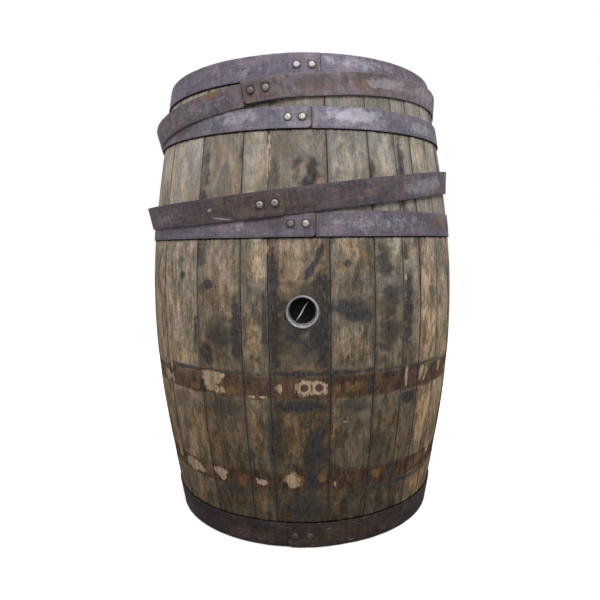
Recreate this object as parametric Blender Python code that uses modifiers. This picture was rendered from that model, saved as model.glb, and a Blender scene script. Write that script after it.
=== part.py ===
"""Oak barrel of the 53-gallon whiskey pattern, standing on its bottom end, in metres.

The origin is on the floor at the middle of the bottom end, +Z is up and the bung faces -Y.
28 staves stand in a ring round two tongued and grooved heads. Four tight hoops hold them, and
two loose hoops, which have come off the lower half, hang tilted on the upper half.
"""

import math

import bmesh
import bpy
from mathutils import Matrix, Vector

# Cask outline: the outer radius falls from the bilge, at mid height, to both ends.
HEIGHT = 0.889
BILGE_RADIUS = 0.3298
END_RADIUS = 0.2772
BILGE_FULLNESS = 0.312  # how much more the staves bend at the bilge than towards the ends
GAP = 0.0003  # between any two pieces that touch

# Staves
STAVE_THICKNESS = 0.0254
STAVE_LEVELS = 12  # straight steps down the outer face
STAVE_INNER_LEVELS = 6
MOST_DEGREES_A_FACET = 7.0
CHIME_FLAT = 0.009  # width of the flat end of a stave
CHIME_BEVEL_DEPTH = 0.016
CROZE_DEPTH = 0.005  # groove that holds a head
CROZE_MOUTH = 0.011
CROZE_FLOOR = 0.0046
CROZE_FROM_END = 0.032
# Degrees of the circle, going from the bung stave towards +X and all the way round.
BUNG_STAVE_START = -10.2
STAVE_DEGREES = (
    18.6, 14.3, 10.9, 8.0, 10.7, 13.5, 12.4, 15.0, 9.6, 13.2, 10.8, 16.4, 11.6, 13.0,
    9.2, 14.8, 12.2, 10.4, 15.6, 11.2, 13.6, 12.0, 9.8, 15.4, 14.2, 18.7, 16.2, 8.7,
)

# Heads
HEAD_RADIUS = 0.2612
HEAD_RISE = 0.007  # from the croze's middle to the outer face
HEAD_DROP = 0.015  # from the croze's middle to the inner face
HEAD_EDGE = 0.0036  # thickness at the very rim
HEAD_TENON = 0.006  # width of the thinned rim that sits in the croze
HEAD_TENON_SLOPE = 0.45
HEAD_OUTER_BEVEL = 0.010  # from the rim to the flat outer face
HEAD_INNER_BEVEL = 0.018
HEAD_STEPS = 72
HEAD_BOARDS = (0.098, 0.112, 0.104, 0.116, 0.094)  # widths, front to back
TONGUE = 0.005
TONGUE_THICKNESS = 0.006
SLAB_REACH = 0.4  # half length of the bars that the head is cut with

# Hoops
HOOP_THICKNESS = 0.0016
BILGE_HOOP_WIDTH = 0.0445
QUARTER_HOOP_WIDTH = 0.0381
HEAD_HOOP_WIDTH = 0.0508
HOOP_CLEARANCE = 0.0008
HOOP_STEP = 5.0  # degrees
LAP_RAMP = 10.0  # degrees over which the strip climbs onto its own end
LAP_MARGIN = 2.9  # degrees from a rivet to the strip's end

# Rivets
RIVET_HEAD = (0.0065, 0.0028)  # radius, height
RIVET_SHANK = 0.0027
RIVET_LIFT = 0.00015
RIVET_HOLE = (-0.008, 0.004)  # reach of the hole's cutter in and out from the steel
RIVET_STEPS = 12

# Bung
BUNG_HEIGHT = 0.447
BUSH_FLANGE_RADIUS = 0.0283
BUSH_PROUD = 0.0009
BUSH_FLANGE = 0.0028  # thickness
BUSH_EDGE = 0.0009
BUSH_DEPTH = 0.0335
BUSH_BODY = (0.0268, 0.0236)  # outer radius under the flange and at the inner end
BUSH_BORE = (0.0246, 0.0211)  # bore radius at the mouth and at the inner end
PLUG_FACE_DEPTH = 0.0195
PLUG_LENGTH = 0.0165
PLUG_CLEARANCE = 0.0004
PLUG_DISH = (0.0190, 0.0030)  # radius, depth
PLUG_EDGE = 0.0010
RIB_WIDTH = 0.0028
RIB_RISE = 0.0010
RIB_ROOT = 0.002  # how far the rib is sunk in the dish's floor
RIB_OVERLAP = 0.0006  # how far each end of the rib is sunk in the dish's wall
RIB_SLANT = 57.0  # degrees up from level, rising towards +X
BUNG_STEPS = 40
CUTTER_PAST = 0.006  # how far a cutter runs past the wood

OAK = (0.235, 0.190, 0.150)
OAK_HEAD = (0.300, 0.235, 0.170)
HOOP_STEEL = (0.130, 0.115, 0.120)
HOOP_RUST = (0.120, 0.085, 0.070)
RIVET_ZINC = (0.420, 0.390, 0.350)
BUSH_METAL = (0.460, 0.455, 0.450)
PLUG_BLACK = (0.012, 0.012, 0.014)


class Hoop:
    """A riveted strip: its size, where it lies on the cask and where its lap is.

    low is the height where the strip fits the cask level. slack is extra room for a tilted hoop,
    and rivet_rise is how far the rivets sit above the middle of the strip's width.
    """

    def __init__(
        self, name, low, width, rivets, lap_side, colour,
        centre=None, tilt=(0.0, 0.0), slack=0.0, rivet_rise=0.0,
    ):
        self.name = name
        self.width = width
        self.low_radius = radius_at(low) + HOOP_CLEARANCE + slack
        self.high_radius = radius_at(low + width) + HOOP_CLEARANCE + slack
        self.rivets = rivets
        self.rivet_rise = rivet_rise
        self.lap_side = lap_side
        self.colour = colour
        self.matrix = Matrix.Translation(centre or (0.0, 0.0, low + width / 2)) @ tilted(*tilt)

    @property
    def lap_degrees(self):
        return self.rivets[1] - self.rivets[0] + 2 * LAP_MARGIN

    @property
    def inner_end(self):
        """Where the strip's hidden inner end lies, in degrees."""
        if self.lap_side > 0:
            return self.rivets[0] - LAP_MARGIN
        return self.rivets[1] + LAP_MARGIN

    def radius(self, height):
        """Radius of the strip's inner face at a height from its middle."""
        share = height / self.width + 0.5
        return self.low_radius + share * (self.high_radius - self.low_radius)

    def strip_angles(self):
        """Degrees along the strip, from its hidden inner end to its outer end."""
        total = 360 + self.lap_degrees
        steps = int(total // HOOP_STEP)
        return [HOOP_STEP * step for step in range(steps + 1)] + [total]

    def climb(self, along):
        """How far the strip has climbed onto its own inner end, this many degrees along it."""
        share = min(max((along - 360 + LAP_RAMP) / LAP_RAMP, 0.0), 1.0)
        return (HOOP_THICKNESS + GAP) * share

    def point(self, along, height):
        """Point on the strip's inner face, this many degrees along it."""
        radius = self.radius(height) + self.climb(along)
        return facing(self.inner_end + self.lap_side * along, radius, height)


def radius_at(height):
    """Outer radius of the cask at a height above the floor."""
    share = (height - HEIGHT / 2) / (HEIGHT / 2)
    fall = (1 + BILGE_FULLNESS) * share**2 - BILGE_FULLNESS * share**4
    return BILGE_RADIUS - (BILGE_RADIUS - END_RADIUS) * fall


def facing(degrees, radius, height):
    """Point at an angle from the front (-Y), counted towards +X."""
    angle = math.radians(degrees)
    return Vector((radius * math.sin(angle), -radius * math.cos(angle), height))


def tilted(right_up, front_up):
    """Rotation of a level ring so that its +X side and its -Y side rise by these degrees."""
    slope = math.tan(math.radians(right_up))
    normal = Vector((-slope, math.tan(math.radians(front_up)), 1)).normalized()
    right = Vector((1, 0, slope)).normalized()
    back = normal.cross(right)
    return Matrix((right, back, normal)).transposed().to_4x4()


def evenly(start, stop, steps):
    return [start + (stop - start) * step / steps for step in range(steps + 1)]


def clear_scene():
    for obj in list(bpy.data.objects):
        bpy.data.objects.remove(obj, do_unlink=True)


def collection(name):
    made = bpy.data.collections.new(name)
    bpy.context.scene.collection.children.link(made)
    return made


def material(name, colour, roughness, metallic):
    made = bpy.data.materials.new(name)
    made.use_nodes = True
    shader = made.node_tree.nodes["Principled BSDF"]
    shader.inputs["Base Color"].default_value = (*colour, 1)
    shader.inputs["Roughness"].default_value = roughness
    shader.inputs["Metallic"].default_value = metallic
    made.diffuse_color = (*colour, 1)
    return made


def add_part(name, bm, colour, roughness, metallic=0.0, matrix=None):
    """The bmesh as a named object with its own material, in the barrel's collection."""
    mesh = bpy.data.meshes.new(name)
    bm.to_mesh(mesh)
    bm.free()
    mesh.shade_smooth()
    mesh.set_sharp_from_angle(angle=math.radians(25))
    mesh.materials.append(material(name, colour, roughness, metallic))
    obj = bpy.data.objects.new(name, mesh)
    obj.matrix_world = matrix or Matrix.Identity(4)
    barrel.objects.link(obj)
    return obj


def add_cutter(name, bm, matrix=None):
    mesh = bpy.data.meshes.new(name)
    bm.to_mesh(mesh)
    bm.free()
    obj = bpy.data.objects.new(name, mesh)
    obj.matrix_world = matrix or Matrix.Identity(4)
    obj.hide_render = True
    obj.display_type = "WIRE"
    cutters.objects.link(obj)
    return obj


def boolean(obj, operation, other):
    modifier = obj.modifiers.new(f"{operation.lower()} {other.name}", "BOOLEAN")
    modifier.operation = operation
    modifier.solver = "EXACT"
    modifier.object = other


def turn(obj, steps):
    """Turns a profile at +X round its object's Z axis."""
    modifier = obj.modifiers.new("turn", "SCREW")
    modifier.steps = steps
    modifier.render_steps = steps
    modifier.use_merge_vertices = True
    modifier.merge_threshold = 0.00001


def profile_mesh(points, closed):
    """Edges through (radius, height) points, at +X."""
    bm = bmesh.new()
    verts = [bm.verts.new((radius, 0, height)) for radius, height in points]
    pairs = list(zip(verts, verts[1:]))
    if closed:
        pairs.append((verts[-1], verts[0]))
    for pair in pairs:
        bm.edges.new(pair)
    return bm


def cylinder_mesh(radius, low, high, top_radius=None, steps=BUNG_STEPS):
    bm = bmesh.new()
    bmesh.ops.create_cone(
        bm,
        cap_ends=True,
        segments=steps,
        radius1=radius,
        radius2=radius if top_radius is None else top_radius,
        depth=high - low,
        matrix=Matrix.Translation((0, 0, (low + high) / 2)),
    )
    return bm


def stave_end(middle):
    """Inner outline of a stave's bottom end: flat, chime bevel and croze, going up the inner face.

    middle is +1 at the bottom end, and -1 at the top end, where the heights are mirrored.
    """

    def up(height):
        return height if middle > 0 else HEIGHT - height

    def inner(height):
        return radius_at(height) - STAVE_THICKNESS

    mouth_low = CROZE_FROM_END - CROZE_MOUTH / 2
    mouth_high = CROZE_FROM_END + CROZE_MOUTH / 2
    floor = inner(CROZE_FROM_END) + CROZE_DEPTH
    points = [
        (END_RADIUS - CHIME_FLAT, 0.0),
        (inner(CHIME_BEVEL_DEPTH), CHIME_BEVEL_DEPTH),
        (inner(mouth_low), mouth_low),
        (floor, CROZE_FROM_END - CROZE_FLOOR / 2),
        (floor, CROZE_FROM_END + CROZE_FLOOR / 2),
        (inner(mouth_high), mouth_high),
    ]
    return [(radius, up(height)) for radius, height in points]


def stave_outline():
    outer = [(radius_at(height), height) for height in evenly(HEIGHT, 0, STAVE_LEVELS)]
    low = CROZE_FROM_END + CROZE_MOUTH / 2
    inside = [
        (radius_at(height) - STAVE_THICKNESS, height)
        for height in evenly(low, HEIGHT - low, STAVE_INNER_LEVELS)
    ][1:-1]
    return outer + stave_end(1) + inside + stave_end(-1)[::-1]


def stave_mesh(degrees):
    """A stave that faces -Y: its outline spun through its share of the circle, less the joint's gap."""
    bm = bmesh.new()
    half = math.radians(degrees) / 2 - GAP / 2 / END_RADIUS
    verts = [bm.verts.new((0, -radius, height)) for radius, height in stave_outline()]
    edges = [bm.edges.new(pair) for pair in zip(verts, verts[1:] + verts[:1])]
    bmesh.ops.rotate(bm, verts=verts, matrix=Matrix.Rotation(-half, 3, "Z"))
    bmesh.ops.spin(
        bm,
        geom=verts + edges,
        axis=(0, 0, 1),
        cent=(0, 0, 0),
        angle=2 * half,
        steps=math.ceil(degrees / MOST_DEGREES_A_FACET),
    )
    bmesh.ops.holes_fill(bm, edges=bm.edges, sides=0)
    bmesh.ops.recalc_face_normals(bm, faces=bm.faces)
    return bm


def stave_tone(number):
    """Oak colour that changes a little from stave to stave."""
    shade = 1 + 0.14 * math.sin(2.4 * number)
    return tuple(channel * shade for channel in OAK)


def add_staves():
    """Makes the ring of staves and gives back the one with the bung hole."""
    start = BUNG_STAVE_START
    bung_stave = None
    for number, degrees in enumerate(STAVE_DEGREES, 1):
        name = "bung_stave" if number == 1 else f"stave_{number:02d}"
        turned = Matrix.Rotation(math.radians(start + degrees / 2), 4, "Z")
        stave = add_part(name, stave_mesh(degrees), stave_tone(number), 0.8, matrix=turned)
        bung_stave = bung_stave or stave
        start += degrees
    return bung_stave


def head_outline():
    """Half section of a head, from its outer face's middle round the tenon to its inner face's."""
    half_edge = HEAD_EDGE / 2
    half_tenon = half_edge + HEAD_TENON * HEAD_TENON_SLOPE
    return [
        (0.0, HEAD_RISE),
        (HEAD_RADIUS - HEAD_OUTER_BEVEL, HEAD_RISE),
        (HEAD_RADIUS - HEAD_TENON, half_tenon),
        (HEAD_RADIUS, half_edge),
        (HEAD_RADIUS, -half_edge),
        (HEAD_RADIUS - HEAD_TENON, -half_tenon),
        (HEAD_RADIUS - HEAD_INNER_BEVEL, -HEAD_DROP),
        (0.0, -HEAD_DROP),
    ]


def board_slab(front, back, tongue, groove):
    """Bar along X from front to back in Y, with a tongue behind and a groove in front where asked."""
    low, high = -2 * HEAD_DROP, 2 * HEAD_DROP
    middle = (HEAD_RISE - HEAD_DROP) / 2
    outline = [(front, low), (back, low)]
    if tongue:
        under = middle - TONGUE_THICKNESS / 2
        over = middle + TONGUE_THICKNESS / 2
        tip = back + TONGUE
        outline += [(back, under), (tip, under), (tip, over), (back, over)]
    outline += [(back, high), (front, high)]
    if groove:
        under = middle - TONGUE_THICKNESS / 2 - GAP
        over = middle + TONGUE_THICKNESS / 2 + GAP
        root = front + TONGUE + GAP
        outline += [(front, over), (root, over), (root, under), (front, under)]
    bm = bmesh.new()
    face = bm.faces.new([bm.verts.new((-SLAB_REACH, y, z)) for y, z in outline])
    grown = bmesh.ops.extrude_face_region(bm, geom=[face])["geom"]
    far = [item for item in grown if isinstance(item, bmesh.types.BMVert)]
    bmesh.ops.translate(bm, vec=(2 * SLAB_REACH, 0, 0), verts=far)
    bmesh.ops.recalc_face_normals(bm, faces=bm.faces)
    return bm


def add_head(name, matrix):
    """Five boards, each the turned head cut down to its own tongued and grooved bar."""
    front = -sum(HEAD_BOARDS) / 2
    last = len(HEAD_BOARDS)
    for number, width in enumerate(HEAD_BOARDS, 1):
        back = front + width
        outline = profile_mesh(head_outline(), False)
        board = add_part(f"{name}_board_{number}", outline, OAK_HEAD, 0.8, matrix=matrix)
        turn(board, HEAD_STEPS)
        slab = board_slab(front + GAP / 2, back - GAP / 2, number < last, number > 1)
        boolean(board, "INTERSECT", add_cutter(f"{name}_slab_{number}", slab, matrix))
        front = back


def hoop_mesh(hoop):
    """The strip's inner face, drawn out step by step round the cask, with its normals outwards."""
    bm = bmesh.new()
    half = hoop.width / 2
    ends = [bm.verts.new(hoop.point(0, height)) for height in (-half, half)]
    edge = bm.edges.new(ends)
    for along in hoop.strip_angles()[1:]:
        grown = bmesh.ops.extrude_edge_only(bm, edges=[edge])["geom"]
        edges = [item for item in grown if isinstance(item, bmesh.types.BMEdge)]
        edge = next(item for item in edges if len(item.link_faces) == 1)
        for vert in edge.verts:
            vert.co = hoop.point(along, math.copysign(half, vert.co.z))
    bm.normal_update()
    bm.faces.ensure_lookup_table()
    first = bm.faces[0]
    if first.normal.dot(first.calc_center_median()) < 0:
        bmesh.ops.reverse_faces(bm, faces=bm.faces)
    return bm


def rivet_seat(hoop, degrees):
    """Place on the hoop's outer layer with +Z straight out of the steel."""
    outward = facing(degrees, hoop.width, hoop.low_radius - hoop.high_radius).normalized()
    radius = hoop.radius(hoop.rivet_rise) + 2 * HOOP_THICKNESS + GAP + RIVET_LIFT
    surface = facing(degrees, radius, hoop.rivet_rise)
    return Matrix.Translation(surface) @ outward.to_track_quat("Z", "Y").to_matrix().to_4x4()


def rivet_outline():
    radius, height = RIVET_HEAD
    dome = [(radius * math.sin(angle), height * math.cos(angle)) for angle in evenly(0, math.pi / 2, 4)]
    tail = -(2 * HOOP_THICKNESS + GAP + RIVET_LIFT)
    return dome + [(RIVET_SHANK, 0.0), (RIVET_SHANK, tail), (0.0, tail)]


def add_hoop(hoop):
    strip = add_part(hoop.name, hoop_mesh(hoop), hoop.colour, 0.55, 0.6, matrix=hoop.matrix)
    solidify = strip.modifiers.new("thickness", "SOLIDIFY")
    solidify.thickness = HOOP_THICKNESS
    solidify.offset = 1
    solidify.use_even_offset = True
    for side, degrees in zip(("left", "right"), hoop.rivets):
        seat = hoop.matrix @ rivet_seat(hoop, degrees)
        name = f"{hoop.name}_rivet_{side}"
        rivet = add_part(name, profile_mesh(rivet_outline(), False), RIVET_ZINC, 0.4, 0.7, matrix=seat)
        turn(rivet, RIVET_STEPS)
        hole = cylinder_mesh(RIVET_SHANK + GAP, *RIVET_HOLE, steps=RIVET_STEPS)
        boolean(strip, "DIFFERENCE", add_cutter(f"{name}_hole", hole, seat))


def bush_bore(depth):
    share = depth / BUSH_DEPTH
    return BUSH_BORE[0] + share * (BUSH_BORE[1] - BUSH_BORE[0])


def bush_outline():
    """Closed section of the bush: down its outside, round its inner end and up its bore."""
    edge = BUSH_EDGE
    return [
        (BUSH_FLANGE_RADIUS - edge, 0.0),
        (BUSH_FLANGE_RADIUS, -edge),
        (BUSH_FLANGE_RADIUS, -BUSH_FLANGE),
        (BUSH_BODY[0], -BUSH_FLANGE),
        (BUSH_BODY[1], -BUSH_DEPTH),
        (BUSH_BORE[1], -BUSH_DEPTH),
        (bush_bore(edge), -edge),
        (bush_bore(edge) + edge, 0.0),
    ]


def plug_outline():
    """Half section of the plug, with its dished face at height 0."""
    face = bush_bore(PLUG_FACE_DEPTH) - PLUG_CLEARANCE
    tail = bush_bore(PLUG_FACE_DEPTH + PLUG_LENGTH) - PLUG_CLEARANCE
    dish_radius, dish_depth = PLUG_DISH
    edge = PLUG_EDGE
    return [
        (0.0, -dish_depth),
        (dish_radius - 2 * edge, -dish_depth),
        (dish_radius, -edge),
        (dish_radius + edge, 0.0),
        (face - edge, 0.0),
        (face, -edge),
        (tail, edge - PLUG_LENGTH),
        (tail - edge, -PLUG_LENGTH),
        (0.0, -PLUG_LENGTH),
    ]


def rib_mesh():
    """Bar across the plug's dish, from under its floor to just above its rim."""
    bm = bmesh.new()
    bmesh.ops.create_cube(bm, size=1)
    low = -PLUG_DISH[1] - RIB_ROOT
    size = (2 * (PLUG_DISH[0] + RIB_OVERLAP), RIB_WIDTH, RIB_RISE - low)
    bmesh.ops.scale(bm, vec=size, verts=bm.verts)
    bmesh.ops.translate(bm, vec=(0, 0, (RIB_RISE + low) / 2), verts=bm.verts)
    return bm


def add_bung(bung_stave):
    """Bush in its stepped hole in the bung stave, with the plug deep inside it."""
    out = Matrix.Rotation(math.pi / 2, 4, "X")  # turns +Z to face -Y
    mouth = Matrix.Translation((0, -BILGE_RADIUS - BUSH_PROUD, BUNG_HEIGHT)) @ out
    bush = add_part("bung_bush", profile_mesh(bush_outline(), True), BUSH_METAL, 0.5, 0.8, matrix=mouth)
    turn(bush, BUNG_STEPS)

    seat = cylinder_mesh(BUSH_FLANGE_RADIUS + GAP, -BUSH_FLANGE - GAP, CUTTER_PAST)
    boolean(bung_stave, "DIFFERENCE", add_cutter("bush_seat", seat, mouth))
    taper = (BUSH_BODY[0] - BUSH_BODY[1]) / (BUSH_DEPTH - BUSH_FLANGE)
    hole = cylinder_mesh(
        BUSH_BODY[1] + GAP - CUTTER_PAST * taper,
        -BUSH_DEPTH - CUTTER_PAST,
        -BUSH_FLANGE + CUTTER_PAST,
        BUSH_BODY[0] + GAP + CUTTER_PAST * taper,
    )
    boolean(bung_stave, "DIFFERENCE", add_cutter("bush_hole", hole, mouth))

    slanted = Matrix.Rotation(math.radians(RIB_SLANT), 4, "Z")
    face = mouth @ Matrix.Translation((0, 0, -PLUG_FACE_DEPTH)) @ slanted
    plug = add_part("bung_plug", profile_mesh(plug_outline(), False), PLUG_BLACK, 0.45, matrix=face)
    turn(plug, BUNG_STEPS)
    boolean(plug, "UNION", add_cutter("plug_rib", rib_mesh(), face))


# Rivets are (left, right) degrees from the front. lap_side is +1 where the outer end of the lap
# is on the right. The loose hoops keep the sizes of the bands they left on the lower half.
HOOPS = (
    Hoop("top_head_hoop", 0.8440, 0.0440, (-1.0, 4.3), 1, HOOP_STEEL),
    Hoop("slipped_quarter_hoop", 0.1150, QUARTER_HOOP_WIDTH, (-14.1, -9.0), -1, HOOP_RUST,
         centre=(-0.0082, 0.0038, 0.8134), tilt=(5.71, 2.42), rivet_rise=0.0040),
    Hoop("upper_quarter_hoop", 0.7664, QUARTER_HOOP_WIDTH, (-4.0, 0.7), 1, HOOP_STEEL,
         centre=(0.0, -0.0012, 0.7855), tilt=(0.0, -1.9), slack=0.0010),
    Hoop("slipped_bilge_hoop", 0.2830, BILGE_HOOP_WIDTH, (-11.4, -6.9), 1, HOOP_RUST,
         centre=(-0.0078, -0.0068, 0.6634), tilt=(6.17, -5.31)),
    Hoop("upper_bilge_hoop", 0.5790, BILGE_HOOP_WIDTH, (-3.2, 1.3), 1, HOOP_STEEL,
         centre=(0.0, -0.0006, 0.6013), tilt=(0.0, -1.1)),
    Hoop("bottom_head_hoop", 0.0010, HEAD_HOOP_WIDTH, (-3.7, 1.8), -1, HOOP_RUST),
)

clear_scene()
barrel = collection("oak_barrel")
cutters = collection("cutters")
add_bung(add_staves())
add_head("top_head", Matrix.Translation((0, 0, HEIGHT - CROZE_FROM_END)))
add_head("bottom_head", Matrix.Translation((0, 0, CROZE_FROM_END)) @ Matrix.Rotation(math.pi, 4, "X"))
for each in HOOPS:
    add_hoop(each)
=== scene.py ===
"""Looks of the oak barrel: worn staves, rusted hoops, rivets, heads and bung, lit on a pale floor.

Lengths are metres and angles degrees. The front is -Y, and angles round the cask are counted from
it towards +X. Each worn piece stands for one CAD node and keeps to that node's place and size.
"""

import math

import bmesh
import bpy
import numpy as np
from mathutils import Matrix, Vector


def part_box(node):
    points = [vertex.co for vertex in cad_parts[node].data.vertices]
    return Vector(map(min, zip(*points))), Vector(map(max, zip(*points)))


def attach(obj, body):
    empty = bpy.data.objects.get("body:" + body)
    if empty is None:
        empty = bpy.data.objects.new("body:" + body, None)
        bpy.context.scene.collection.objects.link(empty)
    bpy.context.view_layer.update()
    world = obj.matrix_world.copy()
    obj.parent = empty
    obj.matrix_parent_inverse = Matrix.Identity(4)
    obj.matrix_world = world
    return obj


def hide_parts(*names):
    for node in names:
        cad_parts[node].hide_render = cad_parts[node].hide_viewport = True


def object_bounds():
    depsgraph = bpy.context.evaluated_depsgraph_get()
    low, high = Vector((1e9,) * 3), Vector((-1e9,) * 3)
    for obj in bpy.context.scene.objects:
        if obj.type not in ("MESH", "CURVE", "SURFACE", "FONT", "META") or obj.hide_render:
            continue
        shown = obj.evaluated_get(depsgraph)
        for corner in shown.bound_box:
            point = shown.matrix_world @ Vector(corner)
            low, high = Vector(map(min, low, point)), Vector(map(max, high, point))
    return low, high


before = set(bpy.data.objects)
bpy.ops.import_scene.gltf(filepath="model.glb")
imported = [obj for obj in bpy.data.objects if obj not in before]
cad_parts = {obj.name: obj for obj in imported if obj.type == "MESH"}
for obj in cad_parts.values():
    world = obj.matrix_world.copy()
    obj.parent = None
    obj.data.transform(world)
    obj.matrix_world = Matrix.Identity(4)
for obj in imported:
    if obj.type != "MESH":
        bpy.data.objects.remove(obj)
cad_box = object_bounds()

# Cask, as in the CAD model
HEIGHT = cad_box[1].z
BILGE_RADIUS = 0.3298
END_RADIUS = 0.2772
BILGE_FULLNESS = 0.312
STAVE_THICKNESS = 0.0254
CHIME_FLAT = 0.009
CHIME_BEVEL_DEPTH = 0.016
CROZE = (0.0265, 0.0297, 0.0343, 0.0375)  # heights of the groove's corners above the stave's end
CROZE_DEPTH = 0.005
GAP = 0.0003

HEAD_HOOP_WIDTH = 0.0508
BILGE_HOOP_WIDTH = 0.0445
QUARTER_HOOP_WIDTH = 0.0381
HOOP_THICKNESS = 0.0016
HOOP_CLEARANCE = 0.0008
LAP_RAMP = 10.0
LAP_MARGIN = 2.9
RIVET_LIFT = 0.00015

# Camera
EYE = Vector((0.0, -1.1963, 0.5435))
PITCH_DOWN = 5.02
YAW = 0.255
ROLL = -0.749
LENS = 30.97
SENSOR_WIDTH = 36
CAMERA_REACH = 50

# Old places of the two loose hoops, where their stains are
BILGE_BAND = (0.2925, 0.3350)
QUARTER_BAND = (0.1150, 0.1530)


# ---------------------------------------------------------------- helpers for shapes


def radius_at(height):
    """Outer radius of the cask at a height; takes numbers or arrays."""
    share = (height - HEIGHT / 2) / (HEIGHT / 2)
    fall = (1 + BILGE_FULLNESS) * share**2 - BILGE_FULLNESS * share**4
    return BILGE_RADIUS - (BILGE_RADIUS - END_RADIUS) * fall


def facing(degrees, radius, height):
    angle = math.radians(degrees)
    return Vector((radius * math.sin(angle), -radius * math.cos(angle), height))


def tilted(right_up, front_up):
    """Rotation of a level ring so that its +X side and its -Y side rise by these degrees."""
    slope = math.tan(math.radians(right_up))
    normal = Vector((-slope, math.tan(math.radians(front_up)), 1)).normalized()
    right = Vector((1, 0, slope)).normalized()
    back = normal.cross(right)
    return Matrix((right, back, normal)).transposed().to_4x4()


def waves(points, size, seed):
    """Smooth noise, mostly from -1 to 1: seven waves of about this size in random directions."""
    rng = np.random.default_rng(seed)
    points = np.asarray(points, float)
    total = np.zeros(points.shape[:-1])
    for _ in range(7):
        way = rng.normal(size=points.shape[-1])
        way *= rng.uniform(0.7, 1.6) * 2 * math.pi / size / np.linalg.norm(way)
        total += np.sin(points @ way + rng.uniform(0, 2 * math.pi))
    return total / 3


def smooth(value, low, high):
    """0 at low, 1 at high and an S-curve between them."""
    share = np.clip((value - low) / (high - low), 0, 1)
    return share * share * (3 - 2 * share)


def swing(degrees, middle=0):
    """Degrees round from middle, between -180 and 180."""
    return (degrees - middle + 180) % 360 - 180


def loft(rings, caps=True):
    """Mesh data for closed rings of equal length, one after another, with flat caps."""
    rings = np.asarray(rings, float)
    count, size = rings.shape[:2]
    first = np.arange(count - 1)[:, None] * size
    here = np.arange(size)
    after = (here + 1) % size
    quads = np.stack([first + here, first + after, first + size + after, first + size + here], -1)
    faces = quads.reshape(-1, 4).tolist()
    if caps:
        faces.append(list(range(size - 1, -1, -1)))
        faces.append([(count - 1) * size + point for point in range(size)])
    return rings.reshape(-1, 3), faces


def turned(profile, steps):
    """Mesh data for a (radius, height) profile turned round Z, from axis to axis or closed."""
    on_axis = profile[0][0] == 0
    middle = profile[1:-1] if on_axis else profile
    angles = np.linspace(0, 2 * math.pi, steps, endpoint=False)
    rings = [
        np.stack([radius * np.cos(angles), radius * np.sin(angles), np.full(steps, height)], -1)
        for radius, height in middle
    ]
    if not on_axis:
        rings.append(rings[0])
        points, faces = loft(rings, caps=False)
        whole = len(points) - steps
        return points[:whole], [[corner % whole for corner in face] for face in faces]
    points, faces = loft(rings, caps=False)
    tips = np.array([[0, 0, profile[0][1]], [0, 0, profile[-1][1]]])
    top, bottom = len(points), len(points) + 1
    last = len(points) - steps
    for step in range(steps):
        after = (step + 1) % steps
        faces.append([top, after, step])
        faces.append([bottom, last + step, last + after])
    return np.concatenate([points, tips]), faces


def arc(centre, radius, start, stop, steps):
    """Points of an arc in a profile, angles in degrees."""
    turns = np.radians(np.linspace(start, stop, steps))
    return [(centre[0] + radius * math.cos(a), centre[1] + radius * math.sin(a)) for a in turns]


def make_mesh(name, points, faces, crease=40):
    mesh = bpy.data.meshes.new(name)
    mesh.from_pydata([tuple(point) for point in points], [], faces)
    bm = bmesh.new()
    bm.from_mesh(mesh)
    bmesh.ops.recalc_face_normals(bm, faces=bm.faces)
    bm.to_mesh(mesh)
    bm.free()
    mesh.shade_smooth()
    mesh.set_sharp_from_angle(angle=math.radians(crease))
    return mesh


def add_object(name, data):
    obj = bpy.data.objects.new(name, data)
    bpy.context.scene.collection.objects.link(obj)
    return obj


def add_piece(node, mesh, body, material):
    """The mesh as the worn piece that stands for a CAD node."""
    mesh.materials.append(material)
    piece = add_object(f"{node}_worn", mesh)
    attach(piece, body)
    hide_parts(node)


def places(mesh):
    """Vertex positions as an array."""
    flat = np.empty(len(mesh.vertices) * 3)
    mesh.vertices.foreach_get("co", flat)
    return flat.reshape(-1, 3)


def store(mesh, name, values):
    """Keeps numbers or triples on the vertices for the material to read."""
    values = np.asarray(values, float)
    if values.ndim == 1:
        mesh.attributes.new(name, "FLOAT", "POINT").data.foreach_set("value", values)
    else:
        mesh.attributes.new(name, "FLOAT_VECTOR", "POINT").data.foreach_set("vector", values.ravel())


# ---------------------------------------------------------------- helpers for materials


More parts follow.
